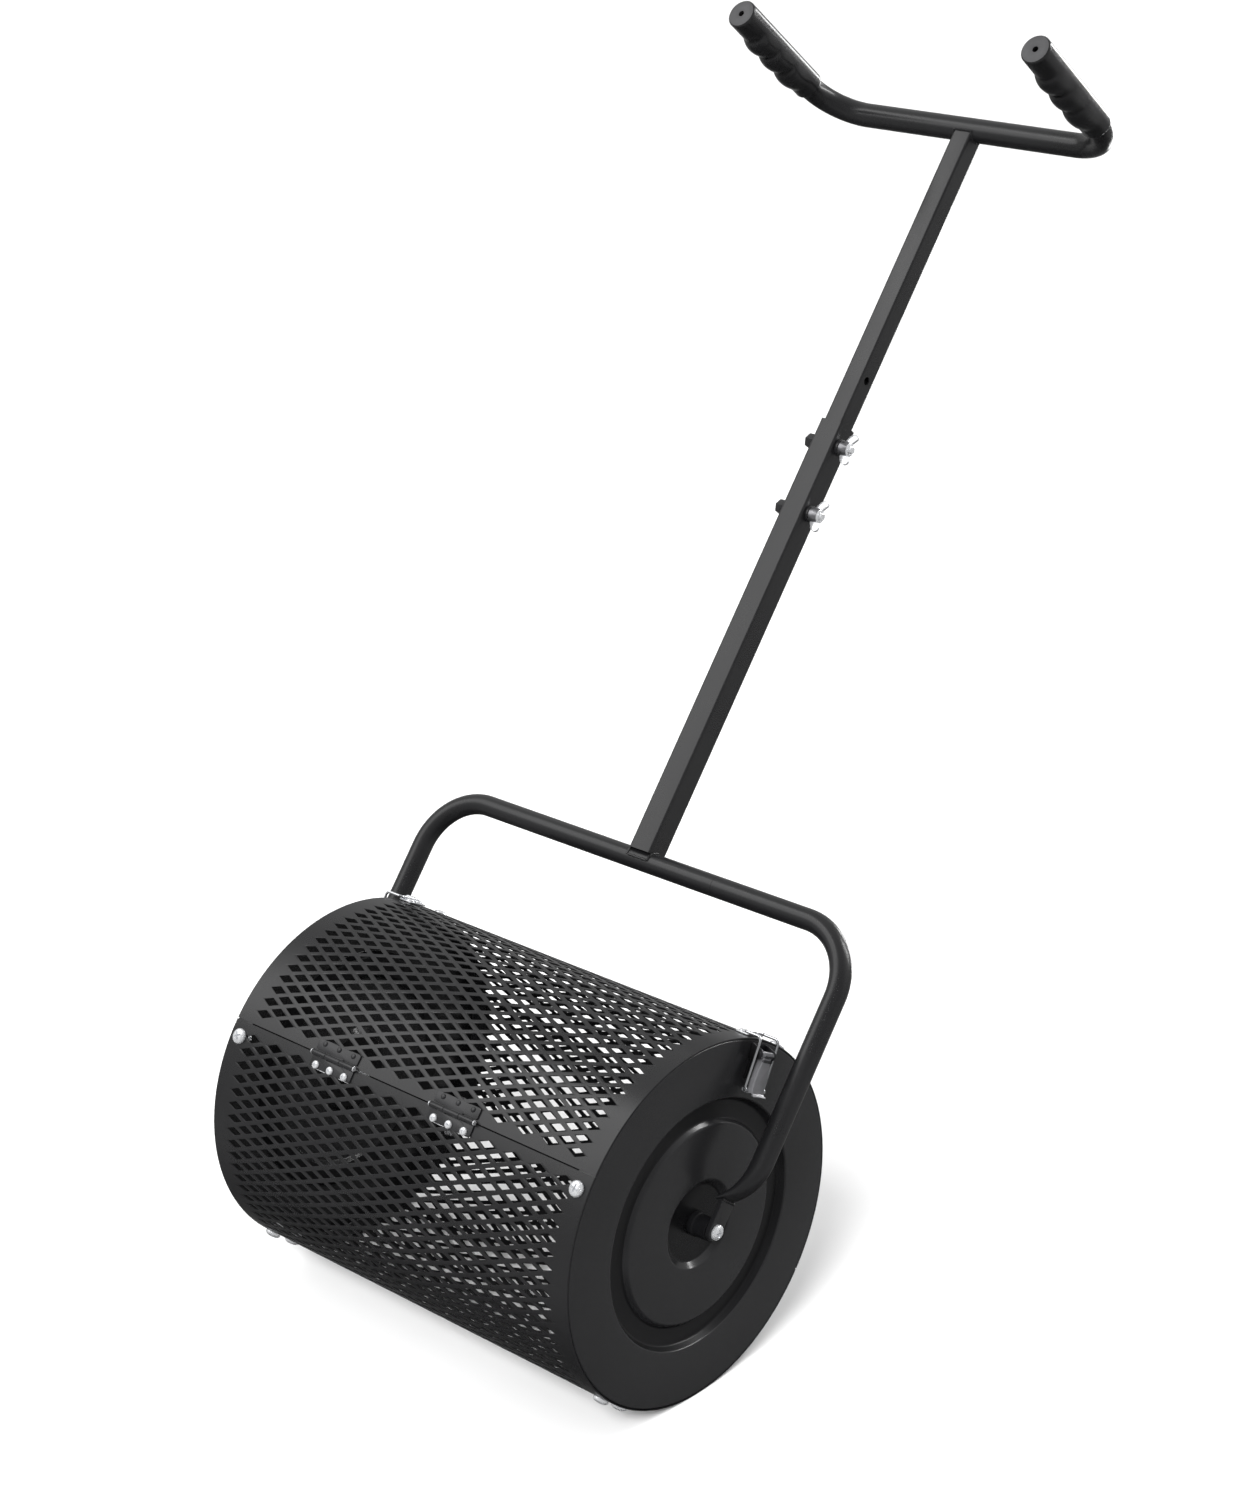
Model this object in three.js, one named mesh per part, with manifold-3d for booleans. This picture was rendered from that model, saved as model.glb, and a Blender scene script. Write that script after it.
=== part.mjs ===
// A hand-pushed mesh-drum lawn roller: a drum of four curved panels between two pressed end discs,
// carried on stub bolts in a tube yoke, with a two-part square handle shaft and a U-shaped handlebar.
// One panel is a door on two butt hinges, held shut by a toggle latch at each end.
//
// Millimetres, +Z up, X along the drum axle. The origin is on the ground, under the middle of the axle.
// Everything is drawn in the handle's own frame and leaned back at the end: in that frame the axle is
// at the origin, +Z runs up the handle, and -Y is the side that the door hinges on. A drum angle is
// measured about the axle, in degrees, from the handle's direction towards the hinge side.

import * as THREE from 'three';
import { mergeVertices } from 'three/addons/utils/BufferGeometryUtils.js';
import Module from 'manifold-3d';

const wasm = await Module();
wasm.setup();

// ---------------------------------------------------------------- driving dimensions

const DRUM_RADIUS = 182;
const DRUM_LENGTH = 477;
const FLAT_DEG = 5; // the drum's skin is drawn in flats this wide
const HANDLE_LEAN_DEG = 37.5;
const GAP = 0.3; // running gap left between neighbouring pieces

const SHEET = 1.2; // thickness of the drum's panels
const DISC_SHEET = 1.5;
const RIM_CHAMFER = 0.8;
const FLANGE_WIDTH = 21;
const SEAM_DEG = 0.2; // half of the slit between two panels

const YOKE_TUBE = 21.5;
const YOKE_WALL = 1.5;
const YOKE_REACH = 304; // axle to the crossbar
const YOKE_HALF_WIDTH = 274;
const YOKE_BEND = 62;
const YOKE_JOINT_X = 96.5;
const FOOT_KINK = 47; // height above the axle where the arms turn in to their tabs
const FOOT_BEND = 56;
const FOOT_TURN_DEG = 55;

const LOWER_SHAFT = 27;
const UPPER_SHAFT = 22.4;
const SHAFT_WALL = 1.5;
const SHAFT_BACK = 1; // the shaft's middle stands this far behind the plane of yoke and handlebar
const LOWER_SHAFT_FOOT = 312;
const LOWER_SHAFT_TOP = 790;
const UPPER_SHAFT_FOOT = 655;
const SHAFT_HOLES = [692, 767, 842]; // the top hole is the spare one for a longer setting

const BAR_TUBE = 25;
const BAR_WALL = 1.5;
const BAR_HEIGHT = 1131; // axle to the handlebar, along the handle
const BAR_HALF_WIDTH = 181;
const BAR_BEND = 50;
const BAR_END = 187; // how far the bar's arms reach forward

const GRIP_RADIUS = 15.5;
const GRIP_START = 50.5;
const GRIP_END = 191.5;

const TAB_INNER_X = 252;
const TAB_THICK = 5;

const M8 = 4; // shank radius
const M8_HOLE = 4.3;
const M5 = 2;
const M5_HOLE = 2.3;

const RIM_BOLT_X = 225;
const RIM_BOLT_DEG = 5; // from the seam beside it

const HINGE_X = [-98, 62];
const HINGE_WIDTH = 56;
const HINGE_PIN_RADIAL = 185.4;
const HINGE_SCREW_PITCH = 19.5;
const LEAF_THICK = 1.2;

const LATCH_DEG = 10.5;
const LATCH_PIVOT = { x: 250, z: 170 };
const BAIL_PIVOT = { x: 248.5, z: 135 };
const BAIL_HOOK = { x: 229, z: 185.6 };
const BAIL_HALF_WIDTH = 14.7;
const BAIL_WIRE = 1.4;
const CATCH_X = 222; // the two screws sit side by side at this distance from the drum's middle
const CATCH_SCREW_SPREAD = 6.5;
const CATCH_NOTCH = { end: 229, halfWidth: 16 };

// ---------------------------------------------------------------- materials

function finish(color, roughness, metalness) {
  return new THREE.MeshStandardMaterial({ color, roughness, metalness });
}

const powderCoat = finish(0x2b2b2d, 0.5, 0.2);
const blackSteel = finish(0x222224, 0.45, 0.3);
const zinc = finish(0xd5d8dc, 0.3, 1);
const satinSteel = finish(0x94979b, 0.45, 1);
const rubber = finish(0x1a1a1b, 0.8, 0);
const nylon = finish(0x1e1e20, 0.6, 0);

// ---------------------------------------------------------------- geometry helpers

const rad = THREE.MathUtils.degToRad;

/** Merges shared corners, drops empty triangles and turns the faces outwards. */
function closed(source) {
  const bare = source.clone();
  bare.deleteAttribute('normal');
  bare.deleteAttribute('uv');
  const merged = mergeVertices(bare, 1e-3);
  const position = merged.getAttribute('position');
  const kept = [];
  let volume = 0;
  const corner = [new THREE.Vector3(), new THREE.Vector3(), new THREE.Vector3()];
  for (let i = 0; i < merged.index.count; i += 3) {
    const triangle = [0, 1, 2].map((k) => merged.index.getX(i + k));
    if (new Set(triangle).size < 3) continue;
    triangle.forEach((vertex, k) => corner[k].fromBufferAttribute(position, vertex));
    volume += corner[0].dot(corner[1].clone().cross(corner[2]));
    kept.push(triangle);
  }
  const index = kept.flatMap((t) => (volume < 0 ? [t[0], t[2], t[1]] : t));
  merged.setIndex(index);
  return merged;
}

function toSolid(source) {
  const mesh = closed(source);
  const vertProperties = Float32Array.from(mesh.getAttribute('position').array);
  const triVerts = Uint32Array.from(mesh.index.array);
  return new wasm.Manifold(new wasm.Mesh({ numProp: 3, vertProperties, triVerts }));
}

function fromSolid(solid) {
  const mesh = solid.getMesh();
  const geometry = new THREE.BufferGeometry();
  geometry.setAttribute('position', new THREE.BufferAttribute(mesh.vertProperties, 3));
  geometry.setIndex(Array.from(mesh.triVerts));
  return geometry;
}

function cut(geometry, tools) {
  return fromSolid(tools.reduce((body, tool) => body.subtract(toSolid(tool)), toSolid(geometry)));
}

function join(parts) {
  const [first, ...rest] = parts.map(toSolid);
  return fromSolid(rest.reduce((body, part) => body.add(part), first));
}

/** Turns a profile of [radius, x] points about the X axis. */
function turned(profile, sides = 12) {
  const points = profile.map(([r, x]) => new THREE.Vector2(r, x));
  return new THREE.LatheGeometry(points, sides).rotateZ(-Math.PI / 2);
}

function rod(radius, from, to, sides = 12) {
  return turned([[0, from], [radius, from], [radius, to], [0, to]], sides);
}

function tube(outer, inner, from, to, sides = 12) {
  return turned([[inner, from], [outer, from], [outer, to], [inner, to], [inner, from]], sides);
}

/** Stands a piece turned about X on the drum: its x becomes the distance from the axle. */
function radially(geometry, degrees, x) {
  return geometry.rotateY(-Math.PI / 2).rotateX(rad(degrees)).translate(x, 0, 0);
}

/** Extrudes an outline of [up the handle, towards the hinge side] points from one x to another. */
function slab(outline, from, to) {
  const shape = new THREE.Shape(outline.map(([u, n]) => new THREE.Vector2(u, n)));
  const geometry = new THREE.ExtrudeGeometry(shape, { depth: to - from, bevelEnabled: false });
  const axes = new THREE.Matrix4().makeBasis(
    new THREE.Vector3(0, 0, 1),
    new THREE.Vector3(0, -1, 0),
    new THREE.Vector3(1, 0, 0),
  );
  return geometry.applyMatrix4(axes).translate(from, 0, 0);
}

/** Extrudes an outline of [x, z] points across the handle's plane, from one y to another. */
function plate(outline, from, to) {
  const shape = new THREE.Shape(outline.map(([x, z]) => new THREE.Vector2(x, z)));
  const geometry = new THREE.ExtrudeGeometry(shape, { depth: to - from, bevelEnabled: false });
  return geometry.rotateX(Math.PI / 2).translate(0, to, 0);
}

function box(x, y, z) {
  const [width, depth, height] = [x, y, z].map(([low, high]) => high - low);
  const [cx, cy, cz] = [x, y, z].map(([low, high]) => (low + high) / 2);
  return new THREE.BoxGeometry(width, depth, height).translate(cx, cy, cz);
}

/** The same piece on the other end of the drum. */
function mirrored(geometry) {
  return closed(geometry.clone().scale(-1, 1, 1));
}

function circle(radius, sides) {
  const step = (2 * Math.PI) / sides;
  return Array.from({ length: sides }, (_, i) => [
    radius * Math.cos(i * step),
    radius * Math.sin(i * step),
  ]);
}

function squareRing(size) {
  const h = size / 2;
  return [[-h, -h], [h, -h], [h, h], [-h, h]];
}

function hollow(outer, inner) {
  const toPoints = (outline) => outline.map(([x, y]) => new THREE.Vector2(x, y));
  const shape = new THREE.Shape(toPoints(outer));
  if (inner) shape.holes.push(new THREE.Path(toPoints(inner)));
  return shape;
}

/** A tube's route: straight lines with round corners, with a section only where it is needed. */
class BentRoute extends THREE.Curve {
  constructor(corners, bend, stepDeg = 15) {
    super();
    this.stations = [];
    const points = corners.map((p) => new THREE.Vector3(...p));
    points.forEach((point, i) => {
      const back = i > 0 ? point.clone().sub(points[i - 1]).normalize() : null;
      const on = i < points.length - 1 ? points[i + 1].clone().sub(point).normalize() : null;
      if (!back || !on) {
        this.stations.push({ point, tangent: on ?? back });
        return;
      }
      this.addBend(point, back, on, Array.isArray(bend) ? bend[i - 1] : bend, stepDeg);
    });
  }

  addBend(point, back, on, radius, stepDeg) {
    const turn = back.angleTo(on);
    const start = point.clone().addScaledVector(back, -radius * Math.tan(turn / 2));
    const inward = on.clone().addScaledVector(back, -on.dot(back)).normalize();
    const centre = start.clone().addScaledVector(inward, radius);
    const steps = Math.max(2, Math.round(THREE.MathUtils.radToDeg(turn) / stepDeg));
    for (let k = 0; k <= steps; k += 1) {
      const angle = (turn * k) / steps;
      const tangent = back.clone().multiplyScalar(Math.cos(angle));
      tangent.addScaledVector(inward, Math.sin(angle));
      const spoke = back.clone().multiplyScalar(Math.sin(angle));
      spoke.addScaledVector(inward, -Math.cos(angle));
      this.stations.push({ point: centre.clone().addScaledVector(spoke, radius), tangent });
    }
  }

  at(t) {
    return this.stations[Math.round(t * (this.stations.length - 1))];
  }

  getPoint(t) {
    return this.at(t).point.clone();
  }

  getPointAt(t) {
    return this.getPoint(t);
  }

  getTangentAt(t) {
    return this.at(t).tangent.clone();
  }
}

function swept(shape, route) {
  const steps = route.stations.length - 1;
  return new THREE.ExtrudeGeometry(shape, { steps, extrudePath: route, bevelEnabled: false });
}

// ---------------------------------------------------------------- the drum

const halfLength = DRUM_LENGTH / 2;
const panelHalfLength = halfLength - GAP;
const flangeOuter = DRUM_RADIUS - SHEET - GAP - 0.1;
const flangeInner = flangeOuter - DISC_SHEET;
const apothem = DRUM_RADIUS * Math.cos(rad(FLAT_DEG / 2));

/** A point on the drum's faceted skin, as [up the handle, towards the hinge side]. */
function onSkin(radius, degrees) {
  const offMiddle = (((degrees % FLAT_DEG) + FLAT_DEG) % FLAT_DEG) - FLAT_DEG / 2;
  const reach = (radius * Math.cos(rad(FLAT_DEG / 2))) / Math.cos(rad(offMiddle));
  return [reach * Math.cos(rad(degrees)), reach * Math.sin(rad(degrees))];
}

function panel(fromDeg, toDeg, holes) {
  const stops = [fromDeg + SEAM_DEG];
  for (let a = fromDeg + FLAT_DEG; a < toDeg; a += FLAT_DEG) stops.push(a);
  stops.push(toDeg - SEAM_DEG);
  const outer = stops.map((a) => onSkin(DRUM_RADIUS, a));
  const inner = stops.map((a) => onSkin(DRUM_RADIUS - SHEET, a)).reverse();
  const sheet = slab([...outer, ...inner], -panelHalfLength, panelHalfLength);
  return cut(sheet, holes.map(({ radius, degrees, x }) => hole(radius, degrees, x)));
}

function hole(radius, degrees, x) {
  return radially(rod(radius, DRUM_RADIUS - 8, DRUM_RADIUS + 3), degrees, x);
}

function rimHoles(degrees) {
  return [-RIM_BOLT_X, RIM_BOLT_X].map((x) => ({ radius: M8_HOLE, degrees, x }));
}

function hingeHoles(degrees) {
  const offsets = [-HINGE_SCREW_PITCH, 0, HINGE_SCREW_PITCH];
  return HINGE_X.flatMap((x) => offsets.map((dx) => ({ radius: M5_HOLE, degrees, x: x + dx })));
}

/**
 * A pressed steel end disc with a hub dish, a stiffening groove and a flange inside the panels.
 * The flange is notched under the door's catch.
 */
function endDisc(boltAngles) {
  const face = halfLength;
  const back = face - DISC_SHEET;
  const flangeStart = face - FLANGE_WIDTH;
  const dish = turned([
    [8, face - 8], [39, face - 8], [44, face - 2], [100, face - 2], [104, face - 6], [120, face - 6],
    [125, face], [140, face], [140, back], [126, back], [121, back - 6], [103, back - 6],
    [99, back - 2], [45, back - 2], [40, back - 8], [8, back - 8], [8, face - 8],
  ], 36);
  const rim = turned([
    [135, face], [flangeOuter - RIM_CHAMFER, face], [flangeOuter, face - RIM_CHAMFER],
    [flangeOuter, flangeStart], [flangeInner, flangeStart], [flangeInner, back], [135, back],
    [135, face],
  ], 360 / FLAT_DEG);
  const across = CATCH_NOTCH.halfWidth;
  const notch = box([flangeStart - 1, CATCH_NOTCH.end], [-across, across], [170, DRUM_RADIUS]);
  const tools = boltAngles.map((a) => hole(M8_HOLE, a, RIM_BOLT_X));
  return cut(join([dish, rim]), [...tools, notch.rotateX(rad(LATCH_DEG))]);
}

/** Flanged nylon bush that carries the disc on its stub bolt. */
function hubBush() {
  return turned([
    [M8_HOLE, 224.2], [7.7, 224.2], [7.7, 230.8], [12, 230.8], [12, TAB_INNER_X - GAP],
    [M8_HOLE, TAB_INNER_X - GAP], [M8_HOLE, 224.2],
  ], 14);
}

/** Pan-head bolt through a panel's corner and the disc's flange, with its nut inside. */
function rimBolt() {
  const skin = DRUM_RADIUS + GAP;
  return turned([
    [0, 171.5], [7.2, 171.5], [7.2, flangeInner - 0.8], [M8, flangeInner - 0.8], [M8, skin],
    [7.75, skin], [7.75, skin + 2.3], [5.2, skin + 4.9], [0, skin + 4.9],
  ], 8);
}

// ---------------------------------------------------------------- door hinges

// A leaf lies flat on the skin's flat beside the seam. It is drawn with that flat's middle at the
// top of the drum, then turned to its place: `side` is +1 for the leaf below the seam, on the
// fixed panel, and -1 for the leaf on the door.
const pinAcross = HINGE_PIN_RADIAL * Math.sin(rad(FLAT_DEG / 2));
const pinUp = HINGE_PIN_RADIAL * Math.cos(rad(FLAT_DEG / 2));
const KNUCKLE_RADIUS = 2.7;
const KNUCKLE_BORE = 1.8;
const KNUCKLE_MIDDLE = 9.7; // half length of the door leaf's knuckle
const HINGE_HOLE_ACROSS = -2.8;

function hingeLeaf(side) {
  const half = HINGE_WIDTH / 2;
  const bottom = apothem + GAP;
  const top = bottom + LEAF_THICK;
  const spans = side > 0
    ? [[-half, -KNUCKLE_MIDDLE - GAP], [KNUCKLE_MIDDLE + GAP, half]]
    : [[-KNUCKLE_MIDDLE, KNUCKLE_MIDDLE]];
  const pieces = [box([-half, half], [-6.2, 4.8], [bottom, top])];
  for (const [from, to] of spans) {
    pieces.push(box([from, to], [4.7, 7.8], [bottom, top]));
    pieces.push(rod(KNUCKLE_RADIUS, from, to).translate(0, pinAcross, pinUp));
  }
  const tools = [rod(KNUCKLE_BORE, -half - 1, half + 1).translate(0, pinAcross, pinUp)];
  for (const dx of [-HINGE_SCREW_PITCH, 0, HINGE_SCREW_PITCH]) {
    tools.push(radially(rod(M5_HOLE, bottom - 1, top + 1), 0, dx).translate(0, HINGE_HOLE_ACROSS, 0));
  }
  const leaf = cut(join(pieces), tools);
  return side > 0 ? leaf : leaf.rotateZ(Math.PI);
}

/** Three screws in a row on one backing strip inside the drum. */
function screwRow(spacings, headRadius, headHeight, seat, strip) {
  const pieces = [box(
    [spacings[0] - strip.margin, spacings.at(-1) + strip.margin],
    [-strip.width / 2, strip.width / 2],
    [strip.top - 1.5, strip.top],
  )];
  for (const dx of spacings) {
    const screw = turned([
      [0, strip.top - 1], [M5, strip.top - 1], [M5, seat], [headRadius, seat],
      [headRadius, seat + headHeight / 2], [headRadius * 0.6, seat + headHeight], [0, seat + headHeight],
    ], 8);
    pieces.push(radially(screw, 0, dx));
  }
  return join(pieces);
}

function hingeScrews(headRadius, headHeight) {
  const seat = apothem + GAP + LEAF_THICK + GAP;
  const top = (DRUM_RADIUS - SHEET) * Math.cos(rad(FLAT_DEG / 2)) - GAP;
  const spacings = [-HINGE_SCREW_PITCH, 0, HINGE_SCREW_PITCH];
  return screwRow(spacings, headRadius, headHeight, seat, { margin: 5, width: 8, top });
}

function hingePin() {
  const half = HINGE_WIDTH / 2;
  const end = half + 1.2;
  return turned([
    [0, -end], [2.5, -end], [2.5, -half - GAP], [1.5, -half - GAP], [1.5, half + GAP],
    [2.5, half + GAP], [2.5, end], [0, end],
  ]);
}

// ---------------------------------------------------------------- toggle latches

const CATCH_BOTTOM = DRUM_RADIUS + 0.4;

/** Base plate on the disc, with two ears and the lever's rivet. */
function latchBase() {
  const face = halfLength + GAP;
  const ear = [[face + 0.5, 163], [253, 166], [254, 170], [253, 174], [face + 0.5, 177]];
  return join([
    box([face, face + 1.5], [-11.2, 11.2], [143, 178]),
    plate(ear, -11.2, -9.7),
    plate(ear, 9.7, 11.2),
    rod(1.6, -12.2, 12.2, 10).rotateZ(Math.PI / 2).translate(LATCH_PIVOT.x, 0, LATCH_PIVOT.z),
  ]);
}

/** Pressed lever: a knuckle on the rivet, a flat arm with a curled tip, and two cheeks for the bail. */
function latchLever() {
  const across = (geometry) => geometry.rotateZ(Math.PI / 2);
  const { x, z } = LATCH_PIVOT;
  const arm = [
    [x + 1.8, z + 1], [x + 3.3, z + 1], [x + 3.3, 136], [x + 4.4, 133.2], [x + 7.6, 131.8],
    [x + 7.2, 130.5], [x + 3.2, 131.9], [x + 1.8, 135],
  ];
  const cheek = [[x - 4.6, 131], [x - 4.6, 139], [x + 3, 141], [x + 3, 132.4]];
  const body = join([
    across(rod(3.4, -9.4, 9.4, 12)).translate(x, 0, z),
    plate(arm, -9.4, 9.4),
    plate(cheek, -9.4, -8.1),
    plate(cheek, 8.1, 9.4),
  ]);
  return cut(body, [
    across(rod(1.9, -11, 11, 12)).translate(x, 0, z),
    across(rod(1.8, -11, 11, 10)).translate(BAIL_PIVOT.x, 0, BAIL_PIVOT.z),
  ]);
}

/** Wire bail: its two ends sit in the lever's cheeks, and its bridge hooks behind the catch. */
function latchBail() {
  const w = BAIL_HALF_WIDTH;
  const { x, z } = BAIL_PIVOT;
  const corners = [
    [x, -7.6, z], [x, -w, z], [x + 0.5, -w, BAIL_HOOK.z], [BAIL_HOOK.x, -w, BAIL_HOOK.z],
    [BAIL_HOOK.x, w, BAIL_HOOK.z], [x + 0.5, w, BAIL_HOOK.z], [x, w, z], [x, 7.6, z],
  ];
  return swept(hollow(circle(BAIL_WIRE, 6)), new BentRoute(corners, [3, 4, 4, 4, 4, 3], 45));
}

/** Catch on the door's end margin: a plate whose upturned outer edge seats the bail. */
function latchCatch() {
  const lip = BAIL_HOOK.x + BAIL_WIRE + 0.7;
  const top = CATCH_BOTTOM + LEAF_THICK;
  const half = CATCH_SCREW_SPREAD + 5;
  const body = join([
    box([CATCH_X - 7, lip + 1.2], [-half, half], [CATCH_BOTTOM, top]),
    box([lip, lip + 1.2], [-half, half], [CATCH_BOTTOM, BAIL_HOOK.z - 1.1]),
  ]);
  const bore = () => radially(rod(M5_HOLE, CATCH_BOTTOM - 1, top + 1), 0, CATCH_X);
  return cut(body, [-CATCH_SCREW_SPREAD, CATCH_SCREW_SPREAD].map((y) => bore().translate(0, y, 0)));
}

function catchScrews() {
  const seat = CATCH_BOTTOM + LEAF_THICK + GAP;
  const strip = { margin: 4, width: 8, top: DRUM_RADIUS - SHEET - 0.9 };
  const row = screwRow([-CATCH_SCREW_SPREAD, CATCH_SCREW_SPREAD], 4, 2.5, seat, strip);
  return row.rotateZ(Math.PI / 2).translate(CATCH_X, 0, 0);
}

// ---------------------------------------------------------------- yoke and axle bolts

const TAB_OUTER_X = TAB_INNER_X + TAB_THICK;
const TAB_TOP = 42;

function yokeTube() {
  const half = YOKE_HALF_WIDTH;
  const turn = rad(FOOT_TURN_DEG);
  const kinks = [[half, 0, FOOT_KINK], [-half, 0, FOOT_KINK]];
  const corners = [kinks[0], [half, 0, YOKE_REACH], [-half, 0, YOKE_REACH], kinks[1]];
  const reach = 36;
  const foot = [half - reach * Math.sin(turn), 0, FOOT_KINK - reach * Math.cos(turn)];
  corners.unshift(foot);
  corners.push([-foot[0], 0, foot[2]]);
  const route = new BentRoute(corners, [FOOT_BEND, YOKE_BEND, YOKE_BEND, FOOT_BEND]);
  const outer = circle(YOKE_TUBE / 2, 12);
  const inner = circle(YOKE_TUBE / 2 - YOKE_WALL, 10);
  return swept(hollow(outer, inner), route);
}

/** One section of the yoke: its tube, cut to length, with its foot trimmed flush to the axle tab. */
function yokeSection(fromX, toX) {
  const far = 400;
  const face = TAB_OUTER_X + GAP;
  const keep = toSolid(box([fromX, toX], [-far, far], [-far, far]));
  const betweenTabs = toSolid(box([-face, face], [-far, far], [-far, YOKE_REACH / 2]));
  return fromSolid(toSolid(yokeTube()).intersect(keep).subtract(betweenTabs));
}

function yokeTab() {
  const half = 12;
  const arc = Array.from({ length: 7 }, (_, i) => {
    const angle = Math.PI / 2 + (Math.PI * i) / 6;
    return [half * Math.cos(angle), half * Math.sin(angle)];
  });
  const outline = [[TAB_TOP, -half], [TAB_TOP, half], ...arc];
  return cut(slab(outline, TAB_INNER_X, TAB_OUTER_X), [rod(M8_HOLE, TAB_INNER_X - 5, TAB_OUTER_X + 5)]);
}

function axleBolt() {
  const seat = TAB_OUTER_X + GAP;
  return turned([
    [0, 211], [M8, 211], [M8, seat], [7.6, seat], [7.6, seat + 2.3], [5.2, seat + 4.8], [0, seat + 4.8],
  ], 14);
}

function axleNut() {
  return cut(rod(7.4, 216.5, 223.6, 6), [rod(M8_HOLE, 210, 230)]);
}

// ---------------------------------------------------------------- handle

/** A square tube standing along the handle, between two heights. */
function squareTube(size, from, to) {
  const outer = squareRing(size);
  const inner = squareRing(size - 2 * SHAFT_WALL);
  const length = to - from;
  const tubing = new THREE.ExtrudeGeometry(hollow(outer, inner), { depth: length, bevelEnabled: false });
  return tubing.translate(0, SHAFT_BACK, from);
}

function lowerShaft() {
  const shaft = squareTube(LOWER_SHAFT, LOWER_SHAFT_FOOT, LOWER_SHAFT_TOP);
  const saddle = rod(YOKE_TUBE / 2 + GAP, -20, 20, 24).translate(0, 0, YOKE_REACH);
  return cut(shaft, [saddle, ...crossHoles(SHAFT_HOLES.slice(0, 2))]);
}

function upperShaft() {
  const shaft = squareTube(UPPER_SHAFT, UPPER_SHAFT_FOOT, BAR_HEIGHT);
  const saddle = rod(BAR_TUBE / 2 + GAP, -20, 20, 24).translate(0, 0, BAR_HEIGHT);
  return cut(shaft, [saddle, ...crossHoles(SHAFT_HOLES)]);
}

function crossHoles(heights) {
  return heights.map((z) => rod(M8_HOLE, -20, 20).translate(0, 0, z));
}

function handlebar() {
  const half = BAR_HALF_WIDTH;
  const corners = [[-half, -BAR_END, 0], [-half, 0, 0], [half, 0, 0], [half, -BAR_END, 0]];
  const outer = circle(BAR_TUBE / 2, 14);
  const inner = circle(BAR_TUBE / 2 - BAR_WALL, 10);
  return swept(hollow(outer, inner), new BentRoute(corners, BAR_BEND));
}

/** Rubber grip, turned about X with its open end at zero. */
function grip() {
  const bore = BAR_TUBE / 2 + GAP;
  const length = GRIP_END - GRIP_START;
  const capStart = BAR_END - GRIP_START + GAP;
  return turned([
    [bore, 0], [GRIP_RADIUS - 1, 0], [GRIP_RADIUS, 2], [GRIP_RADIUS, length - 1.5],
    [GRIP_RADIUS - 1.5, length], [3, length], [3, capStart], [bore, capStart], [bore, 0],
  ], 16);
}

// The cross bolts run along X, with their heads on the left of the shaft and the wing nuts right.
const halfShaft = LOWER_SHAFT / 2;
const WASHER = 3.2;
const NUT_FACE = halfShaft + GAP + WASHER + GAP;
const NUT_HUB = 11;
const HEAD_HEIGHT = 12.2;

function shaftBolt() {
  const head = -halfShaft - GAP;
  return join([
    turned([
      [0, head - HEAD_HEIGHT], [7, head - HEAD_HEIGHT], [8, head - HEAD_HEIGHT + 1], [8, head], [0, head],
    ], 6),
    rod(M8, head - 1, NUT_FACE + NUT_HUB + 3, 12),
  ]);
}

function boltWasher() {
  return tube(8.5, M8_HOLE, halfShaft + GAP, halfShaft + GAP + WASHER, 16);
}

function wingNut() {
  const start = NUT_FACE;
  const wing = [
    [start + 3, 5], [start + 1.5, 7], [start + 4, 14], [start + 9, 17], [start + 14, 15.5],
    [start + 15, 12], [start + 12, 8], [start + 9, 5],
  ];
  const body = join([
    turned([[0, start], [8, start], [7.2, start + NUT_HUB], [0, start + NUT_HUB]], 14),
    plate(wing, -1.3, 1.3),
    plate(wing, -1.3, 1.3).rotateX(Math.PI),
  ]);
  return cut(body, [rod(M8_HOLE, start - 5, start + 30)]);
}

// ---------------------------------------------------------------- assembly

const machine = new THREE.Group();
machine.rotation.x = -rad(HANDLE_LEAN_DEG);
machine.position.z = apothem;

function add(name, geometry, material, drumDegrees = 0) {
  const mesh = new THREE.Mesh(closed(geometry), material);
  mesh.name = name;
  mesh.rotation.x = rad(drumDegrees);
  machine.add(mesh);
  return mesh;
}

/** Adds a piece drawn for the right end of the drum, and its twin on the left end. */
function addPair(name, geometry, material, drumDegrees = 0) {
  add(`${name}_right`, geometry, material, drumDegrees);
  add(`${name}_left`, mirrored(geometry), material, drumDegrees);
}

const fixedPanels = [
  { name: 'front_panel', from: 90, to: 180, hinged: true },
  { name: 'lower_back_panel', from: 180, to: 270, hinged: false },
  { name: 'upper_back_panel', from: 270, to: 360, hinged: false },
];
const hingeHoleDeg = FLAT_DEG / 2 + THREE.MathUtils.radToDeg(-HINGE_HOLE_ACROSS / DRUM_RADIUS);

for (const { name, from, to, hinged } of fixedPanels) {
  const bolts = [from + RIM_BOLT_DEG, to - RIM_BOLT_DEG];
  const holes = bolts.flatMap(rimHoles);
  if (hinged) holes.push(...hingeHoles(from + hingeHoleDeg));
  add(name, panel(from, to, holes), powderCoat);
  for (const degrees of bolts) {
    const bolt = radially(rimBolt(), 0, RIM_BOLT_X);
    addPair(`rim_bolt_${degrees}deg`, bolt, zinc, degrees);
  }
}

const catchScrewDeg = THREE.MathUtils.radToDeg(CATCH_SCREW_SPREAD / DRUM_RADIUS);
const catchHoles = [LATCH_DEG - catchScrewDeg, LATCH_DEG + catchScrewDeg].flatMap((degrees) => [
  { radius: M5_HOLE, degrees, x: CATCH_X },
  { radius: M5_HOLE, degrees, x: -CATCH_X },
]);
add('door_panel', panel(0, 90, [...hingeHoles(90 - hingeHoleDeg), ...catchHoles]), powderCoat);

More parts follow.
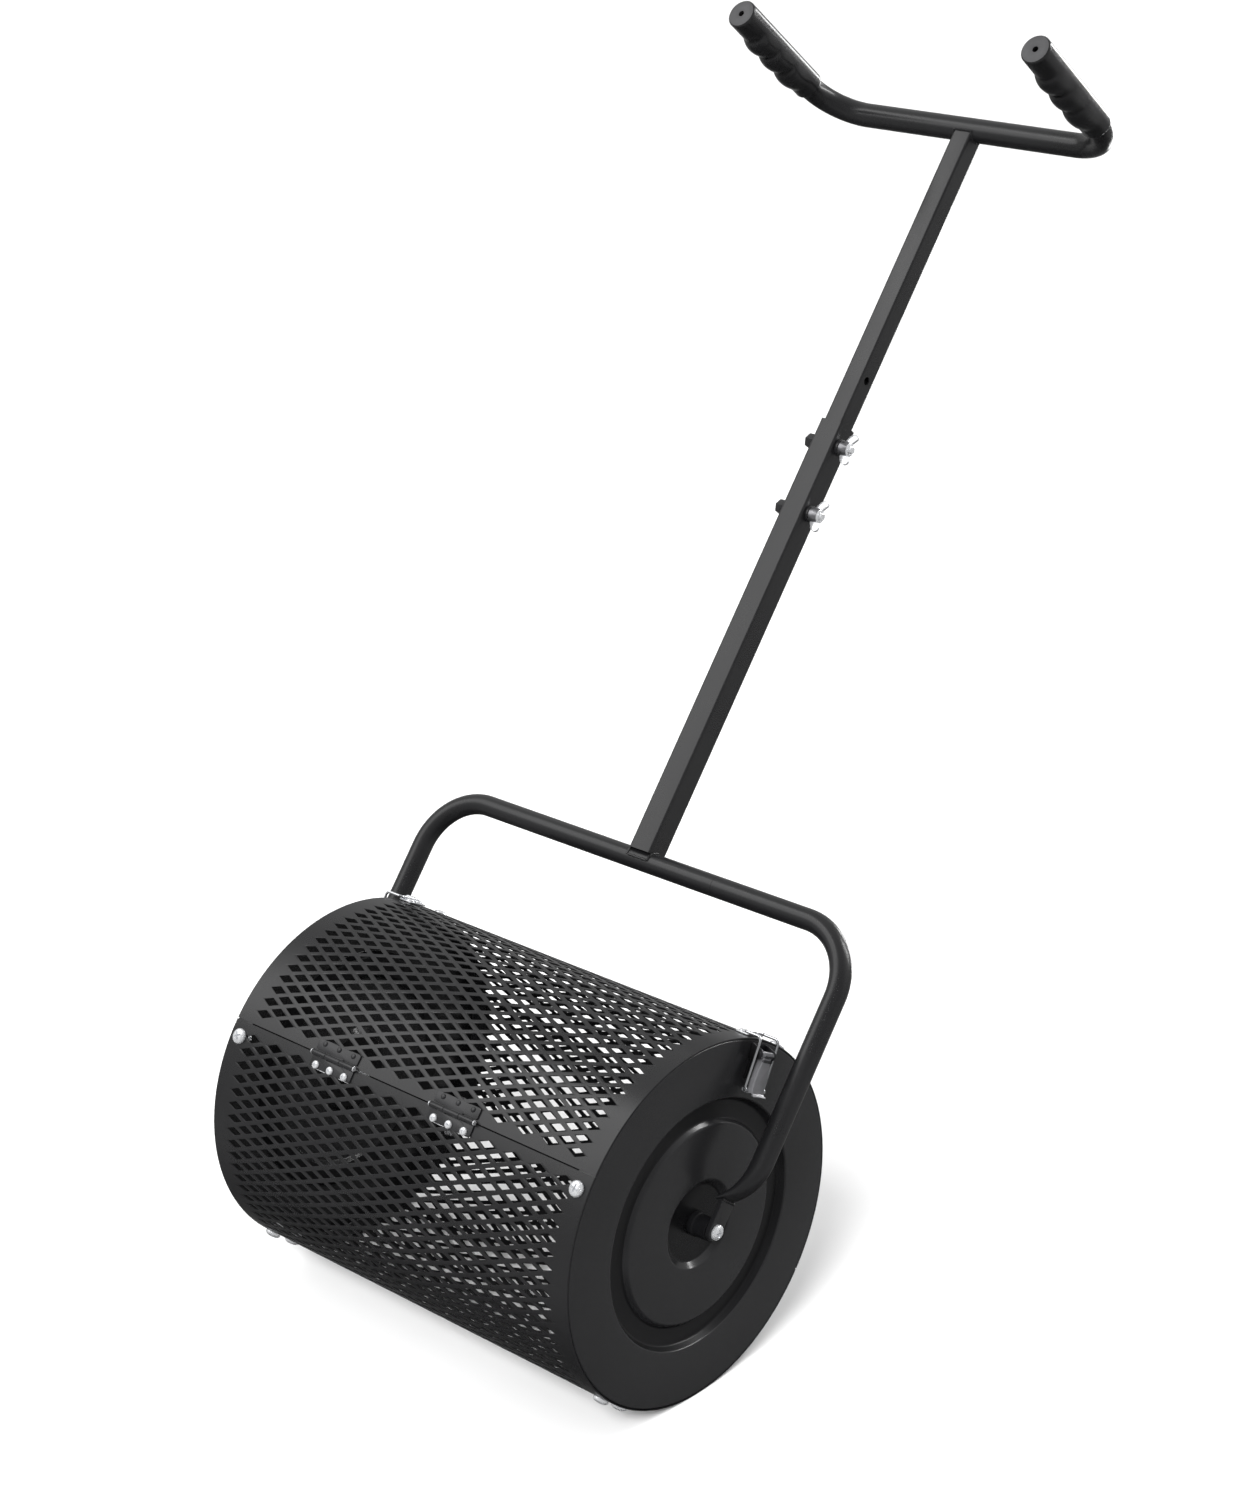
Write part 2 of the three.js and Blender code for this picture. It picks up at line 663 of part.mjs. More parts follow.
const rimBoltAngles = fixedPanels.flatMap(({ from, to }) => [from + RIM_BOLT_DEG, to - RIM_BOLT_DEG]);
addPair('end_disc', endDisc(rimBoltAngles), powderCoat);
addPair('hub_bush', hubBush(), nylon);

HINGE_X.forEach((x, i) => {
  const fixedDeg = 90 + FLAT_DEG / 2;
  const doorDeg = 90 - FLAT_DEG / 2;
  const place = (geometry, across = 0) => geometry.translate(x, across, 0);
  add(`hinge_${i + 1}_fixed_leaf`, place(hingeLeaf(1)), blackSteel, fixedDeg);
  add(`hinge_${i + 1}_door_leaf`, place(hingeLeaf(-1)), blackSteel, doorDeg);
  add(`hinge_${i + 1}_pin`, place(hingePin()).translate(0, pinAcross, pinUp), blackSteel, fixedDeg);
  add(`hinge_${i + 1}_screws`, place(hingeScrews(4.1, 2.8), HINGE_HOLE_ACROSS), zinc, fixedDeg);
  add(`hinge_${i + 1}_rivets`, place(hingeScrews(2.7, 1.2), -HINGE_HOLE_ACROSS), blackSteel, doorDeg);
});

addPair('latch_base', latchBase(), zinc, LATCH_DEG);
addPair('latch_lever', latchLever(), satinSteel, LATCH_DEG);
addPair('latch_bail', latchBail(), zinc, LATCH_DEG);
addPair('latch_catch', latchCatch(), zinc, LATCH_DEG);
addPair('catch_screws', catchScrews(), zinc, LATCH_DEG);

add('yoke_right', yokeSection(YOKE_JOINT_X + GAP, 400), powderCoat);
add('yoke_left', yokeSection(-400, YOKE_JOINT_X), powderCoat);
const sleeveRadius = YOKE_TUBE / 2 - YOKE_WALL - 0.6;
const sleeve = tube(sleeveRadius, sleeveRadius - 1.2, YOKE_JOINT_X - 40, YOKE_JOINT_X + 40);
add('yoke_sleeve', sleeve.translate(0, 0, YOKE_REACH), blackSteel);
addPair('yoke_tab', yokeTab(), powderCoat);
addPair('axle_bolt', axleBolt(), zinc);
addPair('axle_nut', axleNut(), zinc);

add('lower_shaft', lowerShaft(), powderCoat);
add('upper_shaft', upperShaft(), powderCoat);
add('handlebar', handlebar().translate(0, 0, BAR_HEIGHT), powderCoat);
const gripAtRight = grip().rotateZ(-Math.PI / 2).translate(BAR_HALF_WIDTH, -GRIP_START, BAR_HEIGHT);
addPair('grip', gripAtRight, rubber);

['lower', 'upper'].forEach((which, i) => {
  const place = (geometry) => geometry.translate(0, 0, SHAFT_HOLES[i]);
  add(`shaft_bolt_${which}`, place(shaftBolt()), blackSteel);
  add(`bolt_washer_${which}`, place(boltWasher()), blackSteel);
  add(`wing_nut_${which}`, place(wingNut()), zinc);
});

export default new THREE.Group().add(machine);
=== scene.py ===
from math import atan2, ceil, cos, degrees, hypot, pi, radians, sin, tan

import bmesh
import bpy
from mathutils import Matrix, Vector


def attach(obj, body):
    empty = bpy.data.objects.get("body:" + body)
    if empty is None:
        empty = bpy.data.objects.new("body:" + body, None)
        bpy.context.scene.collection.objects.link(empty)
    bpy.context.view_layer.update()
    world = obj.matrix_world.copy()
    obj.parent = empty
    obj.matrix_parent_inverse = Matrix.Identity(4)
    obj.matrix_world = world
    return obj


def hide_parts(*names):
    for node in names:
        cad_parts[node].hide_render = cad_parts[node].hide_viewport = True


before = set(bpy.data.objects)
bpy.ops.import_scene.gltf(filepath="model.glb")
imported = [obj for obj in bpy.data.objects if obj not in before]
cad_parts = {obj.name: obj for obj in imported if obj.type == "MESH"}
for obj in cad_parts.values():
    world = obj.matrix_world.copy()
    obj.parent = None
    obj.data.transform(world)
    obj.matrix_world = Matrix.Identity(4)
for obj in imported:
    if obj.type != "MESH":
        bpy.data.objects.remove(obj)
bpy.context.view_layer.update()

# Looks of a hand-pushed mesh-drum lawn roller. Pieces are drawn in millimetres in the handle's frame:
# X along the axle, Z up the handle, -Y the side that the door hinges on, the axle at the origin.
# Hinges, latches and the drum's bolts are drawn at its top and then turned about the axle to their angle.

MM = 0.001

# the drum, its end discs and its bolts
RADIUS = 182.0
HALF_FACET = radians(2.5)  # the CAD's drum is drawn in facets of five degrees
APOTHEM = RADIUS * cos(HALF_FACET)
FACE = 238.5  # the end discs' outer faces, from the drum's middle
DISC_EDGE, FLANGE_END = 180.3, 217.6  # an end disc's radius, and how far in its flange reaches
BOLT, BOLT_HOLE = 4.0, 4.3
RIM_BOLT_X = 225.0
RIM_BOLT_DEGS = (95, 175, 185, 265, 275, 355)
HINGE_XS, SCREW_XS = (-98, 62), (-19.5, 0, 19.5)
LATCH_DEG = 10.5
CATCH_X, CATCH_SPREAD = 222, 6.5
NOTCH_FROM, NOTCH_TO, NOTCH_HALF = 216, 229, 16

# the yoke, the shaft and the handlebar
LEAN = radians(37.5)
YOKE_UP, YOKE_X, YOKE_CORNER = 304.0, 274.0, 62
YOKE_OUT, YOKE_IN = 10.75, 9.25
YOKE_SPLIT_RIGHT, YOKE_SPLIT_LEFT = 96.75, 96.5
FOOT_BEND, FOOT_TURN, FOOT_KINK = 56.0, radians(55), 47.0
TAB_LOW, TAB_HIGH, TAB_HALF = 252, 257, 9.8
LOWER_SHAFT, LOWER_FOOT, LOWER_TOP = 27.0, 312, 790
UPPER_SHAFT, UPPER_FOOT = 22.4, 655
SHAFT_WALL = 1.5
SHAFT_BACK = 1.0  # the shaft's middle is this far behind the yoke's plane
BOLT_UP = {"lower": 692, "upper": 767}
SPARE_HOLE_UP = 842
BAR_UP, BAR_X, BAR_END, BAR_BEND = 1131.0, 181.0, 187, 50
BAR_OUT, BAR_IN = 12.5, 11
GRIP_START, GRIP_END = 50.5, 191.5

BASE = Matrix.Translation((0, 0, APOTHEM * MM)) @ Matrix.Rotation(-LEAN, 4, "X") @ Matrix.Scale(MM, 4)
FLIP = Matrix.Scale(-1, 4, (1, 0, 0))


def drum(deg, x=0.0):
    """The placement that turns a piece drawn at the top of the drum to its angle, moved along the axle."""
    return BASE @ Matrix.Rotation(radians(deg), 4, "X") @ Matrix.Translation((x, 0, 0))


# ------------------------------------------------------------------ outlines

def fillet(points, radius, steps=4, closed=True):
    """Rounds a polyline's corners. radius is one number, or one for each point."""
    out = []
    n = len(points)
    for i, p in enumerate(points):
        r = radius[i] if isinstance(radius, (list, tuple)) else radius
        if r <= 0 or (not closed and i in (0, n - 1)):
            out.append(tuple(p))
            continue
        p = Vector(p)
        a, b = Vector(points[i - 1]) - p, Vector(points[(i + 1) % n]) - p
        la, lb = a.length, b.length
        a.normalize()
        b.normalize()
        turn = pi - a.angle(b, 0)
        if turn < 0.02:
            out.append(tuple(p))
            continue
        t = min(r * tan(turn / 2), la * 0.49, lb * 0.49)
        q0, q1 = p + a * t, p + b * t
        for k in range(steps + 1):
            s = k / steps
            w = s * s * (3 - 2 * s) * 0.25 + s * 0.75
            out.append(tuple(q0 * (1 - w) ** 2 + p * 2 * w * (1 - w) + q1 * w ** 2))
    return out


def circle(r, n):
    return [(r * cos(2 * pi * k / n), r * sin(2 * pi * k / n)) for k in range(n)]


def rounded_rect(w, h, r, steps=4):
    return fillet([(-w / 2, -h / 2), (w / 2, -h / 2), (w / 2, h / 2), (-w / 2, h / 2)], r, steps)


# ------------------------------------------------------------------ solids, in millimetres

def grid(bm, rings, loop_rings=False):
    """Joins each closed ring of points to the next, and with loop_rings the last one to the first."""
    rows = [[bm.verts.new(p) for p in ring] for ring in rings]
    m, n = len(rows), len(rows[0])
    for i in range(m if loop_rings else m - 1):
        here, there = rows[i], rows[(i + 1) % m]
        for j in range(n):
            k = (j + 1) % n
            bm.faces.new((here[j], here[k], there[k], there[j]))
    return rows


def lathe(bm, profile, segs, loop=False):
    """Turns a profile of (radius, x) about the X axis."""
    rings = []
    for r, x in profile:
        rings.append([(x, r * sin(2 * pi * k / segs), r * cos(2 * pi * k / segs)) for k in range(segs)])
    grid(bm, rings, loop_rings=loop)


def loft(bm, sections):
    """Joins closed rings of points in turn, and caps both ends."""
    rows = grid(bm, sections)
    bm.faces.new(rows[0])
    bm.faces.new(rows[-1])


def prism(bm, outline, low, high, axes):
    """Extrudes an outline from low to high. axes names the outline's two axes, then the depth's."""
    at = ["xyz".index(c) for c in axes]

    def place(p, q, h):
        v = [0.0, 0.0, 0.0]
        v[at[0]], v[at[1]], v[at[2]] = p, q, h
        return v

    loft(bm, [[place(p, q, low) for p, q in outline], [place(p, q, high) for p, q in outline]])


def route(corners, radii, step):
    """Straight lines with round corners, as a list of (point, tangent). step is in degrees."""
    points = [Vector(c) for c in corners]
    out = [(points[0], (points[1] - points[0]).normalized())]
    for i in range(1, len(points) - 1):
        back = (points[i] - points[i - 1]).normalized()
        on = (points[i + 1] - points[i]).normalized()
        turn = back.angle(on)
        r = radii[i - 1] if isinstance(radii, (list, tuple)) else radii
        start = points[i] - back * (r * tan(turn / 2))
        inward = (on - back * on.dot(back)).normalized()
        centre = start + inward * r
        n = max(2, ceil(degrees(turn) / step))
        for k in range(n + 1):
            a = turn * k / n
            out.append((centre + (back * sin(a) - inward * cos(a)) * r, back * cos(a) + inward * sin(a)))
    out.append((points[-1], (points[-1] - points[-2]).normalized()))
    return out


def pipe(bm, stations, outer, inner, normal):
    """A tube with a wall, open at both ends: both rings have the same number of points."""
    normal = Vector(normal)
    outside, inside = [], []
    for p, t in stations:
        side = t.cross(normal).normalized()
        outside.append([tuple(p + normal * a + side * b) for a, b in outer])
        inside.append([tuple(p + normal * a + side * b) for a, b in inner])
    grid(bm, outside + inside[::-1], loop_rings=True)


def weld_bead(bm, path, radius):
    """A hand-laid weld: a rope of overlapping ripples along a closed path of points."""
    wobble = 0.22
    points = [Vector(p) for p in path]
    sections = []
    for i, p in enumerate(points):
        t = points[(i + 1) % len(points)] - points[i - 1]
        t.normalize()
        a = t.cross(Vector((0.31, 0.52, 0.79))).normalized()
        b = t.cross(a)
        r = radius * (1 + wobble * sin(i * 1.9) + 0.5 * wobble * sin(i * 0.83 + 1))
        sections.append([tuple(p + a * (r * cos(k * pi / 4)) + b * (r * sin(k * pi / 4))) for k in range(8)])
    grid(bm, sections, loop_rings=True)


def bevel(bm, width, segs, over=35):
    """Rounds the edges that turn by more than a number of degrees."""
    bmesh.ops.remove_doubles(bm, verts=bm.verts, dist=1e-4)
    bmesh.ops.recalc_face_normals(bm, faces=bm.faces)
    edges = [e for e in bm.edges if len(e.link_faces) == 2 and e.calc_face_angle(0) > radians(over)]
    bmesh.ops.bevel(bm, geom=edges, offset=width, segments=segs, profile=0.6, affect="EDGES",
                    clamp_overlap=True)


def carve(bm, tool, operation="DIFFERENCE"):
    """Takes one closed solid out of another, or keeps what the two share, and returns the result."""
    made = []
    for part in (bm, tool):
        bmesh.ops.remove_doubles(part, verts=part.verts, dist=1e-4)
        bmesh.ops.recalc_face_normals(part, faces=part.faces)
        me = bpy.data.meshes.new("cut")
        part.to_mesh(me)
        part.free()
        o = bpy.data.objects.new("cut", me)
        bpy.context.scene.collection.objects.link(o)
        made.append(o)
    mod = made[0].modifiers.new("cut", "BOOLEAN")
    mod.operation, mod.solver, mod.object = operation, "EXACT", made[1]
    dg = bpy.context.evaluated_depsgraph_get()
    done = bpy.data.meshes.new_from_object(made[0].evaluated_get(dg))
    out = bmesh.new()
    out.from_mesh(done)
    bpy.data.meshes.remove(done)
    for o in made:
        me = o.data
        bpy.data.objects.remove(o)
        bpy.data.meshes.remove(me)
    return out


def copy_into(bm, source, matrix):
    """Adds a copy of another bmesh, moved by a matrix."""
    me = bpy.data.meshes.new("copy")
    source.to_mesh(me)
    me.transform(matrix)
    bm.from_mesh(me)
    bpy.data.meshes.remove(me)


# ------------------------------------------------------------------ materials

def material(name, colour, rough, metallic=0.0, grain=900, bump=0.15, depth=0.0002, patch=14.0,
             shade=0.25, rough_by=0.06, specular=0.5, coat=0.0, brushed=None):
    """A surface with fine grain, slow colour variation and roughness that wanders a little."""
    m = bpy.data.materials.new(name)
    m.use_nodes = True
    nt = m.node_tree
    node, link = nt.nodes.new, nt.links.new
    bsdf = nt.nodes["Principled BSDF"]
    where = node("ShaderNodeTexCoord")
    scaled = node("ShaderNodeMapping")
    scaled.inputs["Scale"].default_value = brushed or (1, 1, 1)
    link(where.outputs["Object"], scaled.inputs["Vector"])
    slow = node("ShaderNodeTexNoise")
    slow.inputs["Scale"].default_value = patch
    slow.inputs["Detail"].default_value = 6
    link(where.outputs["Object"], slow.inputs["Vector"])
    fine = node("ShaderNodeTexNoise")
    fine.inputs["Scale"].default_value = grain
    fine.inputs["Detail"].default_value = 3
    link(scaled.outputs["Vector"], fine.inputs["Vector"])
    ramp = node("ShaderNodeValToRGB")
    ramp.color_ramp.elements[0].position, ramp.color_ramp.elements[1].position = 0.32, 0.68
    ramp.color_ramp.elements[0].color = (*[c * (1 - shade) for c in colour], 1)
    ramp.color_ramp.elements[1].color = (*[c * (1 + shade) for c in colour], 1)
    link(slow.outputs["Fac"], ramp.inputs["Fac"])
    link(ramp.outputs["Color"], bsdf.inputs["Base Color"])
    mix = node("ShaderNodeMath")
    mix.operation = "MULTIPLY_ADD"
    link(fine.outputs["Fac"], mix.inputs[0])
    mix.inputs[1].default_value = 0.5
    link(slow.outputs["Fac"], mix.inputs[2])
    span = node("ShaderNodeMapRange")
    span.inputs["From Min"].default_value, span.inputs["From Max"].default_value = 0.45, 1.05
    span.inputs["To Min"].default_value = rough - rough_by
    span.inputs["To Max"].default_value = rough + rough_by
    link(mix.outputs["Value"], span.inputs["Value"])
    link(span.outputs["Result"], bsdf.inputs["Roughness"])
    up = node("ShaderNodeBump")
    up.inputs["Strength"].default_value = bump
    up.inputs["Distance"].default_value = depth
    link(fine.outputs["Fac"], up.inputs["Height"])
    link(up.outputs["Normal"], bsdf.inputs["Normal"])
    bsdf.inputs["Metallic"].default_value = metallic
    bsdf.inputs["Specular IOR Level"].default_value = specular
    if coat:
        bsdf.inputs["Coat Weight"].default_value = coat
        bsdf.inputs["Coat Roughness"].default_value = 0.12
    return m


POWDER = material("powder_coat", (0.0075, 0.0075, 0.0081), 0.29, grain=1100, bump=0.14, shade=0.12)
DISC = material("powder_coat_disc", (0.009, 0.009, 0.0097), 0.22, grain=900, bump=0.06, shade=0.14, patch=9)
# painted shade: a darker, less glossy copy of the disc's powder coat for the groove and the hub recess
GROOVE_SHADE = material("powder_coat_painted_groove_shade", (0.0045, 0.0045, 0.005), 0.3, grain=900, bump=0.06, shade=0.14,
                  patch=9, specular=0.24)
BLACK = material("black_hardware", (0.01, 0.01, 0.011), 0.28, grain=1500, bump=0.1, shade=0.3, patch=60)
ZINC = material("bright_zinc", (0.9, 0.91, 0.93), 0.28, 0.8, grain=700, bump=0.05, shade=0.08, patch=120,
                rough_by=0.07)
STEEL = material("satin_steel", (0.2, 0.2, 0.21), 0.36, 0.5, grain=500, bump=0.16, shade=0.12, patch=70,
                 brushed=(6, 1, 0.25))
CHROME = material("bright_wire", (0.8, 0.81, 0.83), 0.17, 1.0, grain=700, bump=0.03, shade=0.06, patch=120)
# painted shade: the wing nut's hub, the same zinc as its wings drawn darker
HUB_SHADE = material("wing_nut_hub_painted_shade", (0.22, 0.22, 0.23), 0.3, 0.9, grain=600, bump=0.12, shade=0.3, patch=180)
# painted shade: the latch base's zinc drawn dark
ZINC_SHADED = material("zinc_painted_shade", (0.1, 0.1, 0.105), 0.4, 1.0, grain=700, bump=0.08, shade=0.2, patch=80)
RUBBER = material("grip_rubber", (0.007, 0.007, 0.0075), 0.24, grain=1300, bump=0.2, depth=0.0003, shade=0.2,
                  patch=40, coat=0.25)
# painted light: the grip's end face, the same rubber drawn lighter, and rougher
RUBBER_END_LIT = material("grip_rubber_end_painted_light", (0.06, 0.06, 0.062), 0.7, grain=900, bump=0.35, shade=0.12,
                      patch=60)
NYLON = material("black_nylon", (0.004, 0.004, 0.0045), 0.5, grain=800, bump=0.15, shade=0.2, patch=50,
                 specular=0.2)


# ------------------------------------------------------------------ pieces

def piece(name, bm, mats, body, node, place=BASE, sharp=38):
    """Finishes a bmesh as a piece that rides on a body and stands for a CAD node."""
    mats = mats if isinstance(mats, (list, tuple)) else [mats]
    bmesh.ops.remove_doubles(bm, verts=bm.verts, dist=1e-4)
    bm.transform(place)
    bmesh.ops.recalc_face_normals(bm, faces=bm.faces)
    me = bpy.data.meshes.new(name)
    bm.to_mesh(me)
    bm.free()
    for m in mats:
        me.materials.append(m)
    me.shade_smooth()
    me.set_sharp_from_angle(angle=radians(sharp))
    o = bpy.data.objects.new(name, me)
    bpy.context.scene.collection.objects.link(o)
    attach(o, body)
    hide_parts(node)


def both_ends(name, make, mats, body, node, place, sharp=38, turn=Matrix.Identity(4)):
    """The piece on the right end of the drum, and its mirror image on the left."""
    for side, flip in (("right", Matrix.Identity(4)), ("left", FLIP)):
        where = body.replace("SIDE", side)
        piece(f"{name}_{side}", make(), mats, where, f"{node}_{side}", place @ flip @ turn, sharp)


# ---- the drum's pierced panels

# along the axle: the columns' spacing, and how many there are on each side of the middle one
PITCH, COLUMNS = 16.0, 13
# round the drum: the holes in a long column, and the first one's angle from the panel's edge, in degrees
ROWS, FIRST = 20, 4.2
STEP = (90 - 2 * FIRST) / (ROWS - 1)
HALF_LENGTH, END_BREAK = 238.2, 0.3
SKIN_OUT, SKIN_IN = RADIUS - 0.05, RADIUS - 1.2
HOLE_X, HOLE_A = 10.5, 4.5  # half of a hole's two diagonals, in millimetres
# the depth of the holes' broken edges, which widen a hole by HOLE_BREAK / HOLE_SIDE of its size
HOLE_BREAK, HOLE_SIDE = 0.22, 3.6
HOLE_BLUNT = 0.09  # the share of a side that a blunt corner takes
SEAM = 0.2  # degrees between a panel's edge and its quarter's


def hole_loop(x, a, grow):
    """A diamond with blunt corners, as twelve points of (x, degrees)."""
    gx, ga = HOLE_X * (1 + grow / HOLE_SIDE), HOLE_A * (1 + grow / HOLE_SIDE)
    to_deg = degrees(1 / RADIUS)
    corners = [(gx, 0), (0, ga), (-gx, 0), (0, -ga)]
    loop = []
    for k, c in enumerate(corners):
        p, n = corners[k - 1], corners[(k + 1) % 4]
        before = (c[0] + HOLE_BLUNT * (p[0] - c[0]), c[1] + HOLE_BLUNT * (p[1] - c[1]))
        after = (c[0] + HOLE_BLUNT * (n[0] - c[0]), c[1] + HOLE_BLUNT * (n[1] - c[1]))
        mid = tuple(0.25 * before[i] + 0.5 * c[i] + 0.25 * after[i] for i in (0, 1))
        loop += [before, mid, after]
    return [(x + q[0], a + q[1] * to_deg) for q in loop]


def panel(start):
    """A quarter of the drum's skin, pierced with staggered diamonds that are long along the axle."""
    verts, faces, index = [], [], {}

    def vert(x, a, r):
        key = (round(x, 3), round(a, 4), round(r, 3))
        if key not in index:
            index[key] = len(verts)
            t = radians(start + a)
            verts.append((x, -r * sin(t), r * cos(t)))
        return index[key]

    half = STEP / 2
    for i in range(-COLUMNS, COLUMNS + 1):
        x = i * PITCH
        short = i % 2 == 0
        for j in range(ROWS - 1 if short else ROWS):
            a = FIRST + STEP * (j + (0.5 if short else 0.0))
            corner = [(x + PITCH, a), (x, a + half), (x - PITCH, a), (x, a - half)]
            wide, true = hole_loop(x, a, HOLE_BREAK), hole_loop(x, a, 0.0)
            for skin, ring in ((SKIN_OUT, wide), (SKIN_IN, true)):
                cv = [vert(*c, skin) for c in corner]
                hv = [vert(*c, skin) for c in ring]
                for k in range(4):
                    n = (k + 1) % 4
                    faces.append((cv[k], cv[n], hv[3 * n], hv[3 * k + 2]))
                    faces.append((cv[k], hv[3 * k + 2], hv[3 * k + 1], hv[3 * k]))
            o = [vert(*c, SKIN_OUT) for c in wide]
            c = [vert(*c, SKIN_OUT - HOLE_BREAK) for c in true]
            b = [vert(*c, SKIN_IN) for c in true]
            for k in range(12):
                n = (k + 1) % 12
                faces.append((o[k], o[n], c[n], c[k]))
                faces.append((c[k], c[n], b[n], b[k]))
    # the plain margins round the pattern: at the two ends, and along the two seams
    edge = COLUMNS * PITCH
    outer_end = HALF_LENGTH - END_BREAK
    low, high = FIRST - half, FIRST + STEP * (ROWS - 1) + half
    for skin in (SKIN_OUT, SKIN_IN):
        end = outer_end if skin == SKIN_OUT else HALF_LENGTH
        for s in (-1, 1):
            for j in range(ROWS):
                a = FIRST + STEP * j
                for d in (-half, half):
                    faces.append((vert(s * end, a, skin), vert(s * (edge + PITCH), a, skin),
                                  vert(s * edge, a + d, skin), vert(s * end, a + d, skin)))
            for a, seam in ((low, SEAM), (high, 90 - SEAM)):
                faces.append((vert(s * end, seam, skin), vert(s * edge, seam, skin),
                              vert(s * edge, a, skin), vert(s * end, a, skin)))
        for i in range(-COLUMNS, COLUMNS):
            x0, x1 = i * PITCH, (i + 1) * PITCH
            for a, seam, inward in ((low, SEAM, half), (high, 90 - SEAM, -half)):
                a0 = a if i % 2 else a + inward
                a1 = a + inward if i % 2 else a
                faces.append((vert(x0, seam, skin), vert(x1, seam, skin),
                              vert(x1, a1, skin), vert(x0, a0, skin)))
    # the sheet's cut edges
    stops = [SEAM] + [low + half * k for k in range(2 * ROWS + 1)] + [90 - SEAM]
    for s in (-1, 1):
        for a0, a1 in zip(stops, stops[1:]):
            faces.append((vert(s * outer_end, a0, SKIN_OUT), vert(s * outer_end, a1, SKIN_OUT),
                          vert(s * HALF_LENGTH, a1, SKIN_IN), vert(s * HALF_LENGTH, a0, SKIN_IN)))
    xs = [i * PITCH for i in range(-COLUMNS, COLUMNS + 1)]
    outside = [-outer_end] + xs + [outer_end]
    inside = [-HALF_LENGTH] + xs + [HALF_LENGTH]
    for seam in (SEAM, 90 - SEAM):
        for out0, out1, in0, in1 in zip(outside, outside[1:], inside, inside[1:]):
            faces.append((vert(out0, seam, SKIN_OUT), vert(out1, seam, SKIN_OUT),
                          vert(in1, seam, SKIN_IN), vert(in0, seam, SKIN_IN)))
    bm = bmesh.new()
    made = [bm.verts.new(v) for v in verts]
    for face in faces:
        bm.faces.new([made[v] for v in face])
    return bm


for name, start, body in (("door_panel", 0, "door"), ("front_panel", 90, "drum"),
                          ("lower_back_panel", 180, "drum"), ("upper_back_panel", 270, "drum")):
    piece(name + "_mesh", panel(start), POWDER, body, name, sharp=30)

# ---- the end discs

def end_disc():
    """A pressed disc: a sunk hub, a raised ring, a groove, a broad margin and a flange turned inwards."""
    f = FACE
    points = [(8, f - 8), (38, f - 8), (44.5, f - 2), (99, f - 2), (103, f - 7.4), (120.8, f - 7.4),
              (124.6, f), (DISC_EDGE, f), (DISC_EDGE, FLANGE_END), (178.9, FLANGE_END), (178.9, f - 1.5),
              (126, f - 1.5), (121.7, f - 8.9), (102.2, f - 8.9), (98.2, f - 3.5), (45.2, f - 3.5),
              (38.8, f - 9.5), (8, f - 9.5)]
    radii = [0.5, 3.5, 3.5, 3.5, 3, 3, 2.2, 1.6, 0.3, 0.3, 1.0, 2.5, 3, 3, 3.5, 3, 3, 0.5]
    bm = bmesh.new()
    lathe(bm, fillet(points, radii, 5), 192, loop=True)
    notch = bmesh.new()
    prism(notch, [(NOTCH_FROM, -NOTCH_HALF), (NOTCH_TO, -NOTCH_HALF), (NOTCH_TO, NOTCH_HALF),
                  (NOTCH_FROM, NOTCH_HALF)], 170, 184, "xyz")
    notch.transform(Matrix.Rotation(radians(LATCH_DEG), 4, "X"))
    bm = carve(bm, notch)
    # the faces in the groove and the hub recess take the darker coat: painted shade
    for face in bm.faces:
        middle = face.calc_center_median()
        r = hypot(middle.y, middle.z)
        sunk = 101.5 < r < 124 or r < 39
        face.material_index = 1 if sunk and middle.x > 225 else 0
    return bm


both_ends("end_disc_mesh", end_disc, [DISC, GROOVE_SHADE], "drum", "end_disc", BASE, sharp=50)


# ---- screws, bolts and nuts

def cross_recess(top, size, depth):
    """The cutter for a cross-shaped driver recess."""
    w = 0.21 * size
    plan = [(w, size), (w, w), (size, w), (size, -w), (w, -w), (w, -size),
            (-w, -size), (-w, -w), (-size, -w), (-size, w), (-w, w), (-w, size)]
    bm = bmesh.new()
    steps = ((top + 0.6, 1.08), (top, 1.0), (top - depth * 0.7, 0.66), (top - depth, 0.3))
    loft(bm, [[(h, s * a, s * b) for a, b in plan] for h, s in steps])
    return bm


def pan_head(seat, radius, height, segs=40):
    """A pan head with a cross recess, standing along X from its seat."""
    dome = [(0, seat), (radius * 0.97, seat), (radius, seat + height * 0.08),
            (radius * 0.995, seat + height * 0.3)]
    for k in range(1, 9):
        t = k / 8 * pi / 2
        dome.append((radius * 0.985 * cos(t), seat + height * (0.38 + 0.62 * sin(t))))
    bm = bmesh.new()
    lathe(bm, dome, segs)
    return carve(bm, cross_recess(seat + height, radius * 0.58, height * 0.85))


def hex_nut(bm, low, high, flats):
    """A chamfered hexagon along X, so wide across its flats."""
    body = fillet(circle(flats / 2 / cos(pi / 6), 6), 0.5, 3)
    chamfer = 0.9
    steps = ((low, 0.93), (low + chamfer, 1), (high - chamfer, 1), (high, 0.93))
    loft(bm, [[(x, a * scale, b * scale) for a, b in body] for x, scale in steps])


def thread(bm, low, high, r):
    """A bolt's shank along X, with a ring for each turn of its thread."""
    pitch = 1.25
    profile = [(0, low), (r - 0.5, low)]
    x = low
    while x + pitch <= high:
        profile += [(r, x + pitch * 0.4), (r, x + pitch * 0.6), (r - 0.45, x + pitch)]
        x += pitch
    profile += [(r - 0.8, high), (0, high)]
    lathe(bm, profile, 20)


def rim_bolt():
    """A pan-head screw and its nut, along X, which lies along the drum's radius when placed."""
    bm = pan_head(RADIUS + 0.1, 7.75, 4.9)
    thread(bm, 171.6, RADIUS + 0.2, BOLT)
    hex_nut(bm, 172.6, 178.4, 13)
    return bm


